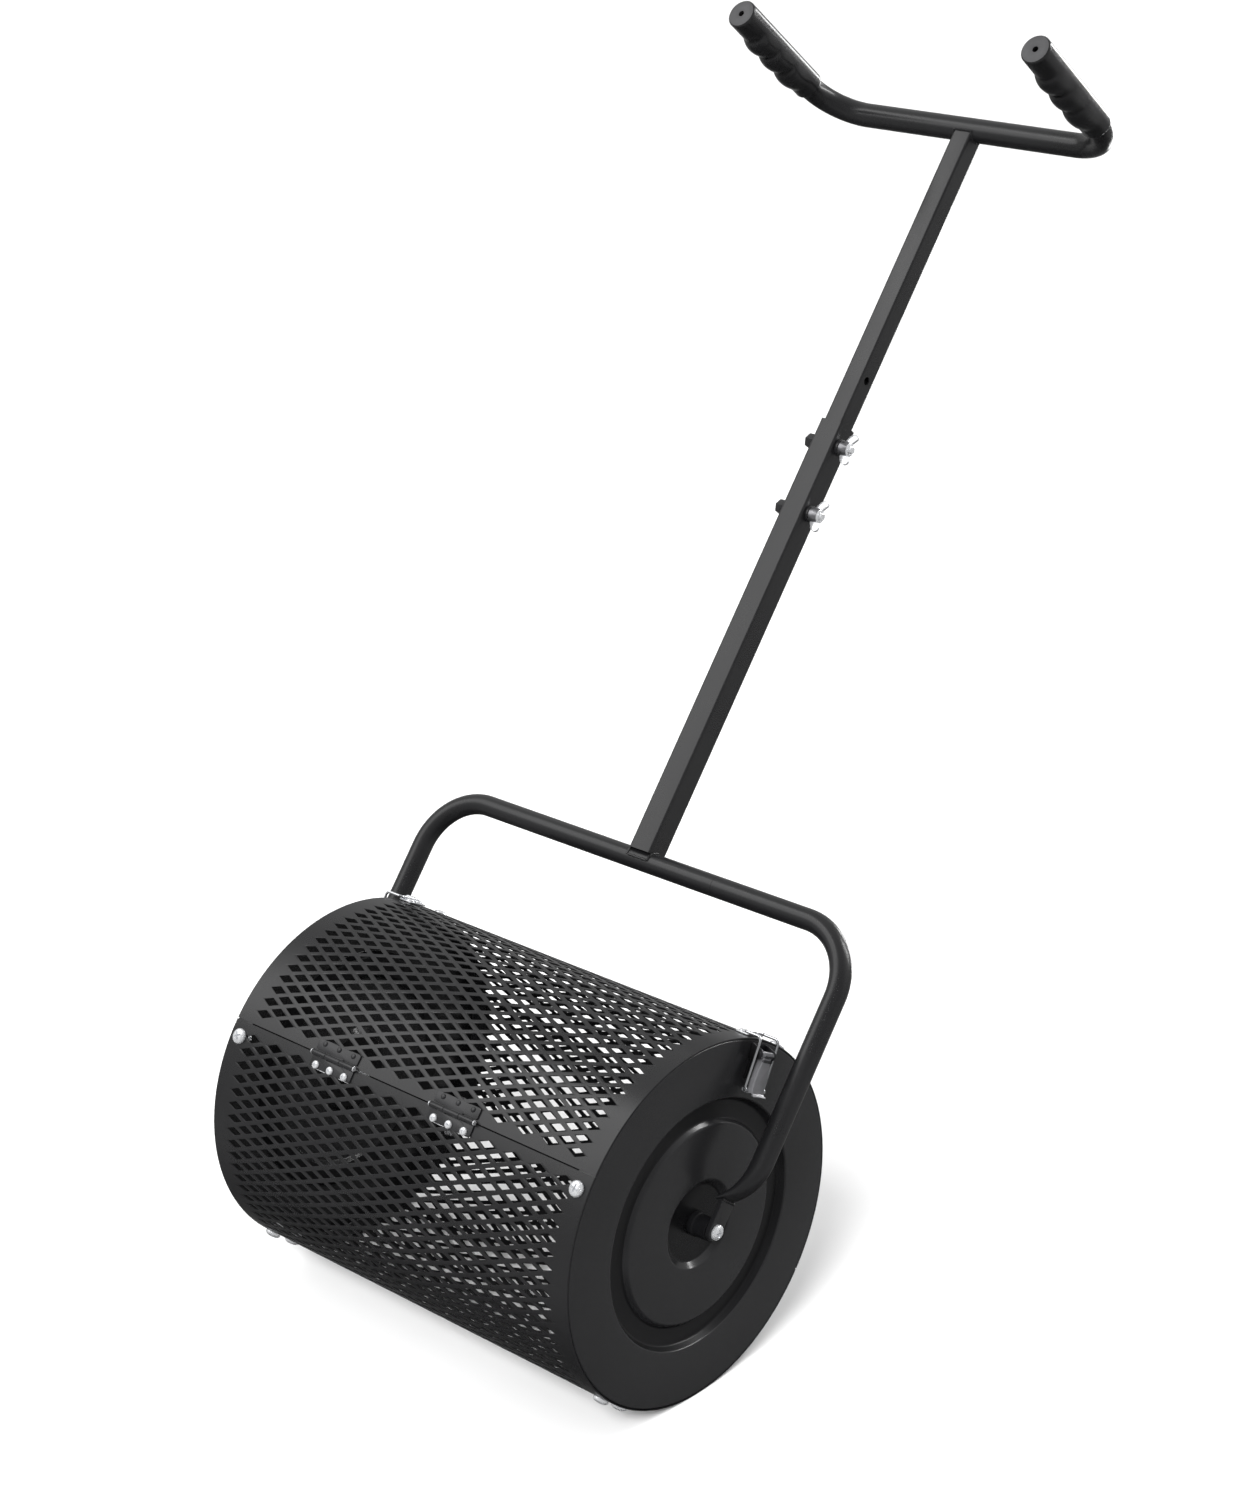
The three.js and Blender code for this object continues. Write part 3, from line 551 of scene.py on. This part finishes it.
TO_RADIAL = Matrix.Rotation(radians(-90), 4, "Y")
for deg in RIM_BOLT_DEGS:
    for side, x, turned in (("right", RIM_BOLT_X, 11), ("left", -RIM_BOLT_X, 47)):
        turn = Matrix.Rotation(radians(deg * 1.7 + turned), 4, "X")
        piece(f"rim_bolt_{deg}deg_head_{side}", rim_bolt(), ZINC, "drum", f"rim_bolt_{deg}deg_{side}",
              drum(deg, x) @ TO_RADIAL @ turn, sharp=30)

# ---- hinges

PIN = 185.4  # the hinge pin's distance from the axle
PIN_ACROSS, PIN_UP = PIN * sin(HALF_FACET), PIN * cos(HALF_FACET)
LEAF_LOW, LEAF_HIGH = APOTHEM + 0.25, APOTHEM + 1.5


def knuckle(bm, low, high):
    """One rolled eye of a hinge leaf, along X."""
    lathe(bm, fillet([(1.75, low), (2.8, low), (2.8, high), (1.75, high)], 0.35, 3), 28, loop=True)


def hinge_leaf(side):
    """side +1 is the leaf on the fixed panel, -1 the one on the door."""
    bm = bmesh.new()
    if side > 0:
        tabs = [(-28, -10), (10, 28)]
        edge = [(-28, -6.2), (28, -6.2), (28, 7.6), (10, 7.6), (10, 4.6), (-10, 4.6),
                (-10, 7.6), (-28, 7.6)]
        radii = [2.5, 2.5, 0.2, 0.4, 0.8, 0.8, 0.4, 0.2]
    else:
        tabs = [(-9.7, 9.7)]
        edge = [(-28, -6.2), (28, -6.2), (28, 4.4), (9.7, 4.4), (9.7, 7.6), (-9.7, 7.6),
                (-9.7, 4.4), (-28, 4.4)]
        radii = [2.5, 2.5, 1.5, 0.6, 0.2, 0.2, 0.6, 1.5]
    prism(bm, fillet(edge, radii, 3), LEAF_LOW, LEAF_HIGH, "xyz")
    bevel(bm, 0.25, 2)
    for low, high in tabs:
        k = bmesh.new()
        knuckle(k, low, high)
        copy_into(bm, k, Matrix.Translation((0, PIN_ACROSS, PIN_UP)))
        k.free()
    if side < 0:
        bm.transform(Matrix.Rotation(pi, 4, "Z"))
    return bm


def hinge_pin():
    bm = bmesh.new()
    points = [(0, -29.4), (2.3, -29.4), (2.5, -28.9), (2.5, -28.3), (1.55, -28.1), (1.55, 28.1), (2.5, 28.3),
              (2.5, 28.9), (2.3, 29.4), (0, 29.4)]
    lathe(bm, fillet(points, 0.3, 3, closed=False), 24)
    return bm


def screw_row(xs, seat, radius, height, strip_top, cross=True, margin=5):
    """Cross-head screws or plain rivets in a row, with one backing strip inside the drum."""
    bm = bmesh.new()
    length = xs[-1] - xs[0] + 2 * margin
    prism(bm, rounded_rect(length, 8, 1.5), strip_top - 1.5, strip_top, "xyz")
    bmesh.ops.translate(bm, vec=((xs[0] + xs[-1]) / 2, 0, 0), verts=bm.verts)
    for k, x in enumerate(xs):
        if cross:
            head = pan_head(seat, radius, height, 28)
        else:
            head = bmesh.new()
            lathe(head, [(0, seat), (radius, seat), (radius * 0.97, seat + height * 0.45),
                         (radius * 0.75, seat + height * 0.85), (radius * 0.35, seat + height),
                         (0, seat + height)], 24)
        lathe(head, [(0, strip_top - 2.4), (2, strip_top - 2.4), (2, seat + 0.1), (0, seat + 0.1)], 16)
        spin = Matrix.Rotation(radians(23 + 41 * k), 4, "X")
        copy_into(bm, head, Matrix.Translation((x, 0, 0)) @ TO_RADIAL @ spin)
        head.free()
    return bm


for i, x in enumerate(HINGE_XS):
    fixed, door = drum(92.5, x), drum(87.5, x)
    n = f"hinge_{i + 1}"
    piece(f"{n}_fixed_leaf_mesh", hinge_leaf(1), BLACK, "drum", f"{n}_fixed_leaf", fixed)
    piece(f"{n}_door_leaf_mesh", hinge_leaf(-1), BLACK, "door", f"{n}_door_leaf", door)
    piece(f"{n}_pin_mesh", hinge_pin(), ZINC, "drum", f"{n}_pin",
          fixed @ Matrix.Translation((0, PIN_ACROSS, PIN_UP)))
    screws = screw_row(SCREW_XS, LEAF_HIGH + 0.05, 4.1, 2.7, 180.2)
    rivets = screw_row(SCREW_XS, LEAF_HIGH + 0.05, 2.7, 1.1, 180.2, cross=False)
    piece(f"{n}_screws_mesh", screws, ZINC, "drum", f"{n}_screws", fixed @ Matrix.Translation((0, -2.8, 0)),
          sharp=30)
    piece(f"{n}_rivets_mesh", rivets, BLACK, "door", f"{n}_rivets", door @ Matrix.Translation((0, 2.8, 0)))

# ---- toggle latches, drawn at the top of the right end disc

# each is a place on the latch's middle plane, as (x, z)
PIVOT = (250.0, 170.0)
BAIL = (248.5, 135.0)
HOOK = (229.0, 185.6)


def across(bm, source, x, z):
    """Lays a piece that was turned about X across the latch, along Y."""
    copy_into(bm, source, Matrix.Translation((x, 0, z)) @ Matrix.Rotation(pi / 2, 4, "Z"))
    source.free()


def latch_base():
    bm = bmesh.new()
    prism(bm, [(y, z + 160.5) for y, z in rounded_rect(15, 35, 2.5)], FACE + 0.3, FACE + 1.8, "yzx")
    for s in (-1, 1):
        low, high = sorted((s * 9.8, s * 11.1))
        ear = fillet([(FACE + 0.3, 162), (252.6, 165.6), (254, 170), (252.6, 174.4), (FACE + 0.3, 178)],
                     [0, 4, 4, 4, 0], 5)
        prism(bm, ear, low, high, "xzy")
        low, high = sorted((s * 6.5, s * 11.1))
        foot = [(low, 162), (high, 162), (high, 178), (low, 178)]
        prism(bm, foot, FACE + 0.3, FACE + 1.8, "yzx")
    bevel(bm, 0.3, 2)
    rivet = bmesh.new()
    lathe(rivet, fillet([(0, -11.9), (2.4, -11.9), (2.4, -11.1), (1.6, -11.1), (1.6, 11.1), (2.4, 11.1),
                         (2.4, 11.9), (0, 11.9)], 0.35, 3, closed=False), 20)
    across(bm, rivet, *PIVOT)
    return bm


def latch_lever():
    """A pressed lever: knuckle, tapered arm with turned-in sides, and a curled lip at its foot."""
    x, z = PIVOT
    spine = [(x + 2.0, z + 2.5), (x + 2.4, z - 5), (x + 2.6, z - 14), (x + 2.6, z - 26), (x + 2.8, z - 34),
             (x + 3.8, z - 37), (x + 6.0, z - 38.6), (x + 7.8, z - 39.4)]
    widths = [14.0, 12.0, 17.0, 19.6, 18.6, 17.8, 20.6, 20.6]
    curve, wide = [], []
    for k in range(len(spine) - 1):
        for j in range(4):
            s = j / 4
            curve.append(Vector(spine[k]).lerp(Vector(spine[k + 1]), s))
            wide.append(widths[k] * (1 - s) + widths[k + 1] * s)
    curve.append(Vector(spine[-1]))
    wide.append(widths[-1])
    fold, closed_by = 5.2, 0.12  # the depth of the turned-in sides, and how soon they end past the arm
    rows = []
    for k, p in enumerate(curve):
        t = (curve[min(k + 1, len(curve) - 1)] - curve[max(k - 1, 0)]).normalized()
        out = Vector((-t.y, t.x))
        if out.x < 0:
            out = -out
        h = wide[k] / 2
        past = k / (len(curve) - 1) - 0.6
        side = fold if past < 0 else max(0.0, fold * (1 - past / closed_by))
        ring = [(-h, -side), (-h, 0.2), (-h + 0.8, 1.0), (0, 1.25), (h - 0.8, 1.0), (h, 0.2), (h, -side),
                (h - 1.1, -side), (h - 1.2, -0.1), (0, 0.15), (-h + 1.2, -0.1), (-h + 1.1, -side)]
        rows.append([(p.x + out.x * d, y, p.y + out.y * d) for y, d in ring])
    bm = bmesh.new()
    loft(bm, rows)
    bevel(bm, 0.2, 2, over=50)
    knob = bmesh.new()
    lathe(knob, fillet([(1.85, -9.4), (3.3, -9.4), (3.3, 9.4), (1.85, 9.4)], 0.4, 3), 28, loop=True)
    across(bm, knob, *PIVOT)
    for s in (-1, 1):
        low, high = sorted((s * 8.2, s * 9.4))
        corners = [(x - 4.3, z - 39), (x - 4.3, z - 31), (x + 2.2, z - 28), (x + 2.4, z - 37)]
        cheek = fillet(corners, [3, 3, 1, 1], 4)
        prism(bm, cheek, low, high, "xzy")
    # the two ribs on the lever's steel take the bright wire's metal: painted highlight
    plain = len(bm.faces)
    for rib in (z - 1.2, z - 5.4):
        prism(bm, [(y, rib + h) for y, h in rounded_rect(14, 2.4, 0.8)], x + 3.0, x + 4.5, "yzx")
    bm.faces.ensure_lookup_table()
    for f in bm.faces[plain:]:
        f.material_index = 1
    return bm


def latch_bail():
    """A sprung wire loop with its ends turned in through the lever's cheeks."""
    w, top, wire = 14.7, 14.6, 1.4
    corners = [(BAIL[0], -7.8, BAIL[1]), (BAIL[0], -w, BAIL[1]), (BAIL[0] + 0.6, -top, HOOK[1]),
               (HOOK[0], -top, HOOK[1]), (HOOK[0], top, HOOK[1]), (BAIL[0] + 0.6, top, HOOK[1]),
               (BAIL[0], w, BAIL[1]), (BAIL[0], 7.8, BAIL[1])]
    stations = route(corners, [2.6, 4.2, 3.4, 3.4, 4.2, 2.6], 12)
    bm = bmesh.new()
    sections = []
    a = Vector((0, 0, 1))
    for p, t in stations:
        a = (a - t * a.dot(t)).normalized()
        b = t.cross(a)
        ring = [(wire * cos(k * pi / 6), wire * sin(k * pi / 6)) for k in range(12)]
        sections.append([tuple(p + a * u + b * v) for u, v in ring])
    loft(bm, sections)
    for s in (-1, 1):
        eye = bmesh.new()
        ring = [(wire, s * 14.0), (2.9, s * 14.0), (2.9, s * 16.0), (wire, s * 16.0)]
        lathe(eye, fillet(ring, 0.6, 3), 20, loop=True)
        across(bm, eye, *BAIL)
    return bm


def latch_catch():
    """A plate on the door with an upturned lip for the bail to hook over."""
    bm = bmesh.new()
    lip = HOOK[0] + 2.1
    edge = fillet([(215, -11.5), (lip + 1.1, -11.5), (lip + 1.1, 11.5), (215, 11.5)], [3, 1, 1, 3], 4)
    prism(bm, edge, 182.4, 183.6, "xyz")
    prism(bm, fillet([(lip, 182.6), (lip + 1.2, 182.4), (lip + 1.2, HOOK[1] - 1.1), (lip, HOOK[1] - 1.1)],
                     [0, 0.3, 0.5, 0.5], 3), -11.4, 11.4, "xzy")
    bevel(bm, 0.2, 2)
    return bm


latch = drum(LATCH_DEG)
# the latch base in the darker zinc: painted shade
both_ends("latch_base_mesh", latch_base, ZINC_SHADED, "drum", "latch_base", latch)
both_ends("latch_lever_mesh", latch_lever, [STEEL, CHROME], "lever_SIDE", "latch_lever", latch)
both_ends("latch_bail_mesh", latch_bail, CHROME, "bail_SIDE", "latch_bail", latch)
both_ends("latch_catch_mesh", latch_catch, CHROME, "door", "latch_catch", latch)


def catch_screws():
    return screw_row((-CATCH_SPREAD, CATCH_SPREAD), 183.7, 4.0, 2.5, 179.9, margin=4)


both_ends("catch_screws_mesh", catch_screws, ZINC, "door", "catch_screws", latch, sharp=30,
          turn=Matrix.Translation((CATCH_X, 0, 0)) @ Matrix.Rotation(pi / 2, 4, "Z"))

# ---- yoke

FOOT_TANGENT = FOOT_BEND * tan(FOOT_TURN / 2)
FOOT_END = (YOKE_X - (FOOT_TANGENT + 2) * sin(FOOT_TURN), FOOT_KINK - (FOOT_TANGENT + 2) * cos(FOOT_TURN))


def crimp(bm):
    """Presses the tube's two feet ever flatter along their bend, and spreads them a little."""
    thickness, spread = 0.23, 0.15
    hub_x, hub_z = YOKE_X - FOOT_BEND, FOOT_KINK + FOOT_TANGENT
    for v in bm.verts:
        side = 1 if v.co.x > 0 else -1
        out, down = v.co.x * side - hub_x, hub_z - v.co.z
        if down < 0 or out < 0:
            continue
        reach, angle = hypot(out, down), atan2(down, out)
        t = min(1.0, angle / FOOT_TURN)
        reach = FOOT_BEND + (reach - FOOT_BEND) * (1 - (1 - thickness) * t ** 1.6)
        v.co.x = side * (hub_x + reach * cos(angle))
        v.co.z = hub_z - reach * sin(angle)
        v.co.y *= 1 + spread * t * t


def yoke(low, high):
    """The part of the bent tube whose x is between low and high."""
    x, z = FOOT_END
    corners = [(x, 0, z), (YOKE_X, 0, FOOT_KINK), (YOKE_X, 0, YOKE_UP), (-YOKE_X, 0, YOKE_UP),
               (-YOKE_X, 0, FOOT_KINK), (-x, 0, z)]
    bm = bmesh.new()
    bends = route(corners, [FOOT_BEND, YOKE_CORNER, YOKE_CORNER, FOOT_BEND], 4)
    pipe(bm, bends, circle(YOKE_OUT, 40), circle(YOKE_IN, 40), (0, 1, 0))
    crimp(bm)
    keep = bmesh.new()
    prism(keep, [(low, -50), (high, -50), (high, 400), (low, 400)], -60, 60, "xzy")
    return carve(bm, keep, "INTERSECT")


piece("yoke_right_tube", yoke(YOKE_SPLIT_RIGHT, 350), POWDER, "frame", "yoke_right", sharp=50)
piece("yoke_left_tube", yoke(-350, YOKE_SPLIT_LEFT), POWDER, "frame", "yoke_left", sharp=50)
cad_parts["yoke_sleeve"].data.materials.clear()
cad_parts["yoke_sleeve"].data.materials.append(BLACK)


def yoke_tab():
    """The plate that the stub bolt goes through, with a round foot and a weld along its top."""
    bm = bmesh.new()
    arc = [(TAB_HALF * cos(pi + pi * k / 16), TAB_HALF * sin(pi + pi * k / 16)) for k in range(17)]
    prism(bm, [(TAB_HALF, 29), (-TAB_HALF, 29)] + arc, TAB_LOW, TAB_HIGH, "yzx")
    hole = bmesh.new()
    lathe(hole, [(0, 245), (4.4, 245), (4.4, 262), (0, 262)], 32)
    bm = carve(bm, hole)
    bevel(bm, 0.6, 3)
    steps = [-9.6 + 19.2 * k / 16 for k in range(17)]
    ring = [(TAB_HIGH + 0.2, y, 30.0) for y in steps] + [(TAB_LOW - 0.2, y, 28.0) for y in steps[::-1]]
    weld_bead(bm, ring, 1.3)
    return bm


both_ends("yoke_tab_mesh", yoke_tab, POWDER, "frame", "yoke_tab", BASE)


def hub_bush():
    bm = bmesh.new()
    points = [(BOLT_HOLE, 224.2), (7.7, 224.2), (7.7, 230.7), (12, 230.7), (12, 236), (11, 237.5),
              (11, 251.7), (BOLT_HOLE, 251.7)]
    lathe(bm, fillet(points, [0.3, 0.5, 0.4, 0.8, 0.8, 0.8, 0.9, 0.3], 4), 56, loop=True)
    return bm


both_ends("hub_bush_mesh", hub_bush, NYLON, "drum", "hub_bush", BASE)


def axle_bolt():
    bm = pan_head(257.2, 7.6, 4.9, 48)
    thread(bm, 211, 257.3, BOLT)
    return bm


def axle_nut():
    bm = bmesh.new()
    hex_nut(bm, 216.6, 223.4, 12.8)
    return bm


both_ends("axle_bolt_mesh", axle_bolt, ZINC, "frame", "axle_bolt", BASE @ Matrix.Rotation(0.5, 4, "X"),
          sharp=30)
both_ends("axle_nut_mesh", axle_nut, ZINC, "frame", "axle_nut", BASE)


# ---- handle shaft

def square_tube(size, wall, low, high):
    round_out = 2.6
    inner = rounded_rect(size - 2 * wall, size - 2 * wall, round_out - wall, 5)
    outer = rounded_rect(size, size, round_out, 5)
    bm = bmesh.new()
    grid(bm, [[(x, y, low) for x, y in outer], [(x, y, high) for x, y in outer],
              [(x, y, high) for x, y in inner], [(x, y, low) for x, y in inner]], loop_rings=True)
    return bm


def rod_tool(bm, radius, z, half, segs=32):
    """A cutter for a round hole across the shaft."""
    r = bmesh.new()
    lathe(r, [(0, -half), (radius, -half), (radius, half), (0, half)], segs)
    copy_into(bm, r, Matrix.Translation((0, 0, z)))
    r.free()


def shaft(size, low, high, saddle_z, saddle_r, holes):
    """A square tube with bolt holes, and a saddle where it lands on a round tube."""
    tools = bmesh.new()
    rod_tool(tools, saddle_r, saddle_z, size, 64)
    for z in holes:
        rod_tool(tools, BOLT_HOLE, z, size)
    tube = square_tube(size, SHAFT_WALL, low, high)
    bmesh.ops.translate(tube, vec=(0, SHAFT_BACK, 0), verts=tube.verts)
    return carve(tube, tools)


def saddle_weld(bm, half, tube_r, z, up, bead):
    """A bead where a square tube lands on a round one. up is 1 above the round tube, -1 below it."""
    path = []
    n = 16
    reach = min(half, tube_r)
    drop = max(0.0, tube_r ** 2 - reach ** 2) ** 0.5
    for side in (1, -1):
        for k in range(n):
            y = side * (-reach + 2 * reach * k / n)
            path.append((side * half, y, z + up * (tube_r ** 2 - y * y) ** 0.5))
        for k in range(n):
            path.append((side * (half - 2 * half * k / n), side * reach, z + up * drop))
    weld_bead(bm, path, bead)


bolt_ups = tuple(BOLT_UP.values())
lower = shaft(LOWER_SHAFT, LOWER_FOOT, LOWER_TOP, YOKE_UP, YOKE_OUT + 0.15, bolt_ups)
saddle_weld(lower, LOWER_SHAFT / 2 - 0.1, YOKE_OUT + 0.1, YOKE_UP, 1, 1.3)
piece("lower_shaft_tube", lower, POWDER, "frame", "lower_shaft", sharp=30)
upper = shaft(UPPER_SHAFT, UPPER_FOOT, BAR_UP, BAR_UP, BAR_OUT + 0.15, (*bolt_ups, SPARE_HOLE_UP))
saddle_weld(upper, UPPER_SHAFT / 2 - 0.1, BAR_OUT, BAR_UP, -1, 1.2)
piece("upper_shaft_tube", upper, POWDER, "frame", "upper_shaft", sharp=30)


def shaft_bolt():
    """A cross bolt with a tall hexagon head on the left and a bright threaded end."""
    bm = bmesh.new()
    body = fillet(circle(8.0, 6), 0.5, 3)
    steps = ((-13.6, 0.93), (-14.0, 1.0), (-24.2, 1.0), (-25.4, 0.95), (-25.9, 0.84))
    loft(bm, [[(x, a * scale, b * scale) for a, b in body] for x, scale in steps])
    thread(bm, -14, 31.2, BOLT)
    for f in bm.faces:
        f.material_index = 1 if f.calc_center_median().x > 13.6 else 0
    return bm


def bolt_washer():
    bm = bmesh.new()
    ring = [(BOLT_HOLE, 13.7), (8.5, 13.7), (8.5, 17.0), (BOLT_HOLE, 17.0)]
    lathe(bm, fillet(ring, 0.35, 3), 40, loop=True)
    return bm


def wing_nut():
    """A cast nut with a round hub and two wings, along X from the washer."""
    start = 17.3
    bm = bmesh.new()
    lathe(bm, fillet([(4.2, start), (8, start), (7.9, start + 5), (7.2, start + 10.4), (4.2, start + 11)],
                     [0.4, 0.6, 1, 1, 0.4], 4), 40, loop=True)
    for s in (1, -1):
        outline = fillet([(start + 1.6, 6), (start + 1.8, 8.5), (start + 5.4, 14.8), (start + 10, 17.2),
                          (start + 14, 15.8), (start + 15, 12.4), (start + 12, 8.2), (start + 9, 5)],
                         [1, 1, 3, 4, 3, 3, 3, 1], 5)
        rows = []
        centre = Vector((start + 7.5, 11))
        for y, scale in ((-1.5, 0.9), (-1.15, 1.0), (1.15, 1.0), (1.5, 0.9)):
            rows.append([((p[0] - centre.x) * scale + centre.x, y,
                          s * ((p[1] - centre.y) * scale + centre.y)) for p in outline])
        loft(bm, rows)
    # the hub takes the darker zinc: painted shade
    for face in bm.faces:
        middle = face.calc_center_median()
        face.material_index = 1 if hypot(middle.y, middle.z) < 8.1 and middle.x < start + 10 else 0
    return bm


for which, z in BOLT_UP.items():
    lift = BASE @ Matrix.Translation((0, 0, z))
    piece(f"shaft_bolt_{which}_mesh", shaft_bolt(), [BLACK, ZINC], "frame", f"shaft_bolt_{which}", lift,
          sharp=30)
    piece(f"bolt_washer_{which}_mesh", bolt_washer(), BLACK, "frame", f"bolt_washer_{which}", lift)
    piece(f"wing_nut_{which}_mesh", wing_nut(), [ZINC, HUB_SHADE], f"wing_nut_{which}_body", f"wing_nut_{which}",
          lift, sharp=40)

# ---- handlebar and grips

def handlebar():
    """The bar's crossbar and its two arms, open at both ends."""
    corners = [(-BAR_X, -BAR_END, BAR_UP), (-BAR_X, 0, BAR_UP), (BAR_X, 0, BAR_UP),
               (BAR_X, -BAR_END, BAR_UP)]
    bm = bmesh.new()
    pipe(bm, route(corners, BAR_BEND, 4), circle(BAR_OUT, 44), circle(BAR_IN, 44), (0, 0, 1))
    return bm


piece("handlebar_tube", handlebar(), POWDER, "frame", "handlebar", sharp=50)


def swell(back):
    """How far the grip's underside stands out, at a distance from its end: three finger swells."""
    for low, high in ((31, 61), (61, 92), (92, 125)):
        if low < back < high:
            t = (back - low) / (high - low)
            return 4.6 * sin(pi * t ** 0.72) ** 0.85
    return 0.0


def grip(side):
    """A moulded grip over the bar's end, with a small round hole through its own end."""
    segs, steps, thick, nose, lip = 56, 90, 15.5, 1.4, 1.6
    bore = BAR_OUT + 0.2

    def ring(y, radius):
        points = []
        for j in range(segs):
            a = 2 * pi * j / segs
            r = radius(a)
            points.append((side * BAR_X + r * sin(a), -y, BAR_UP + r * cos(a)))
        return points

    rows = []
    for k in range(steps + 1):
        y = GRIP_START + (GRIP_END - GRIP_START) * k / steps
        back = GRIP_END - y
        base = thick
        if back < nose:
            base -= nose - (nose ** 2 - (nose - back) ** 2) ** 0.5
        if y - GRIP_START < lip:
            base -= 1.0 * (1 - (y - GRIP_START) / lip)
        rows.append(ring(y, lambda a: base + swell(back) * max(0.0, -cos(a)) ** 1.3))
    for r, y in ((3.4, GRIP_END), (3.0, GRIP_END - 0.5), (3.0, BAR_END + 0.6), (bore, BAR_END + 0.6),
                 (bore, GRIP_START)):
        rows.append(ring(y, lambda a: r))
    bm = bmesh.new()
    grid(bm, rows, loop_rings=True)
    # the end face takes the lighter rubber: painted light
    for face in bm.faces:
        face.material_index = 1 if min(-v.co.y for v in face.verts) > GRIP_END - 0.55 else 0
    return bm


piece("grip_right_mesh", grip(1), [RUBBER, RUBBER_END_LIT], "frame", "grip_right", sharp=60)
piece("grip_left_mesh", grip(-1), [RUBBER, RUBBER_END_LIT], "frame", "grip_left", sharp=60)

# ------------------------------------------------------------------ stage, light and camera

FLOOR_RADIUS, FLOOR_DROP = 30, 0.0006  # metres
floor_mesh = bpy.data.meshes.new("floor")
rim = [(x, y, -FLOOR_DROP) for x, y in circle(FLOOR_RADIUS, 96)]
floor_mesh.from_pydata(rim, [], [tuple(range(96))])
floor = bpy.data.objects.new("floor", floor_mesh)
bpy.context.scene.collection.objects.link(floor)
pale = material("pale_floor", (0.9, 0.9, 0.9), 0.7, grain=60, bump=0.02, shade=0.01, patch=1.5, specular=0.2)
floor_mesh.materials.append(pale)
floor.visible_glossy = False

# The world is white where the camera sees it. To the object it is grey, darkest low down, and half as bright
# round one fixed direction, the dark side of the studio.
DARK_SIDE = (0.62, -0.62, 0.48)
SKY = ((0.0, 0.03), (0.12, 0.06), (0.25, 0.32), (0.46, 0.36), (0.56, 0.48), (0.8, 0.62), (1.0, 0.56))
world = bpy.data.worlds.new("studio")
bpy.context.scene.world = world
world.use_nodes = True
tree = world.node_tree
seen = tree.nodes["Background"]
seen.inputs["Color"].default_value = (1, 1, 1, 1)
seen.inputs["Strength"].default_value = 1.0
felt = tree.nodes.new("ShaderNodeBackground")
way = tree.nodes.new("ShaderNodeTexCoord")
parts = tree.nodes.new("ShaderNodeSeparateXYZ")
height = tree.nodes.new("ShaderNodeMapRange")
sky = tree.nodes.new("ShaderNodeValToRGB")
height.inputs["From Min"].default_value = -1
tree.links.new(way.outputs["Generated"], parts.inputs["Vector"])
tree.links.new(parts.outputs["Z"], height.inputs["Value"])
tree.links.new(height.outputs["Result"], sky.inputs["Fac"])
facing = tree.nodes.new("ShaderNodeVectorMath")
facing.operation = "DOT_PRODUCT"
facing.inputs[1].default_value = DARK_SIDE
tree.links.new(way.outputs["Generated"], facing.inputs[0])
dark = tree.nodes.new("ShaderNodeMapRange")
dark.interpolation_type = "SMOOTHSTEP"
dark.inputs["From Min"].default_value, dark.inputs["From Max"].default_value = 0.45, 0.9
dark.inputs["To Min"].default_value, dark.inputs["To Max"].default_value = 1.0, 0.5
tree.links.new(facing.outputs["Value"], dark.inputs["Value"])
tree.links.new(dark.outputs["Result"], felt.inputs["Strength"])
tree.links.new(sky.outputs["Color"], felt.inputs["Color"])
while len(sky.color_ramp.elements) < len(SKY):
    sky.color_ramp.elements.new(0.5)
for element, (at, level) in zip(sky.color_ramp.elements, SKY):
    element.position, element.color = at, (level, level, level, 1)
rays = tree.nodes.new("ShaderNodeLightPath")
pick = tree.nodes.new("ShaderNodeMixShader")
tree.links.new(rays.outputs["Is Camera Ray"], pick.inputs[0])
tree.links.new(felt.outputs["Background"], pick.inputs[1])
tree.links.new(seen.outputs["Background"], pick.inputs[2])
tree.links.new(pick.outputs["Shader"], tree.nodes["World Output"].inputs["Surface"])


def aim(name, light, place, target):
    """Adds a light that points at a target."""
    o = bpy.data.objects.new(name, light)
    o.location = place
    o.rotation_mode = "QUATERNION"
    o.rotation_quaternion = (Vector(target) - Vector(place)).to_track_quat("-Z", "Y")
    bpy.context.scene.collection.objects.link(o)
    return o


def softbox(name, place, target, size, power):
    """A rectangular light that the camera doesn't see."""
    light = bpy.data.lights.new(name, "AREA")
    light.shape, light.size, light.size_y, light.energy = "RECTANGLE", size[0], size[1], power
    aim(name, light, place, target).visible_camera = False


sun = bpy.data.lights.new("key", "SUN")
sun.energy, sun.angle = 4.2, radians(24)
aim("key", sun, (0.9, -2.3, 1.9), (0, 0, 0)).visible_glossy = False
softbox("left_box", (-2.4, -1.9, 3.3), (0, 0.3, 0.5), (3.0, 3.0), 44)
softbox("rim_box", (1.6, 3.0, 2.4), (0, 0.4, 0.7), (0.35, 2.4), 55)
softbox("streak_box", (-1.4, -1.2, 3.4), (0, 0.3, 0.6), (3.2, 0.45), 6)
softbox("back_box", (-0.2, 3.5, 0.5), (0, 0.6, 1.1), (0.6, 2.6), 45)

camera = bpy.data.objects.new("camera", bpy.data.cameras.new("camera"))
camera.data.sensor_width, camera.data.lens = 36, 73.55
camera.data.clip_end = 100
camera.location = (1.85938, -1.89944, 1.62769)
camera.rotation_euler = (radians(68.737), 0, radians(41.988))
bpy.context.scene.collection.objects.link(camera)
bpy.context.scene.camera = camera
bpy.context.scene.view_settings.view_transform = "Standard"
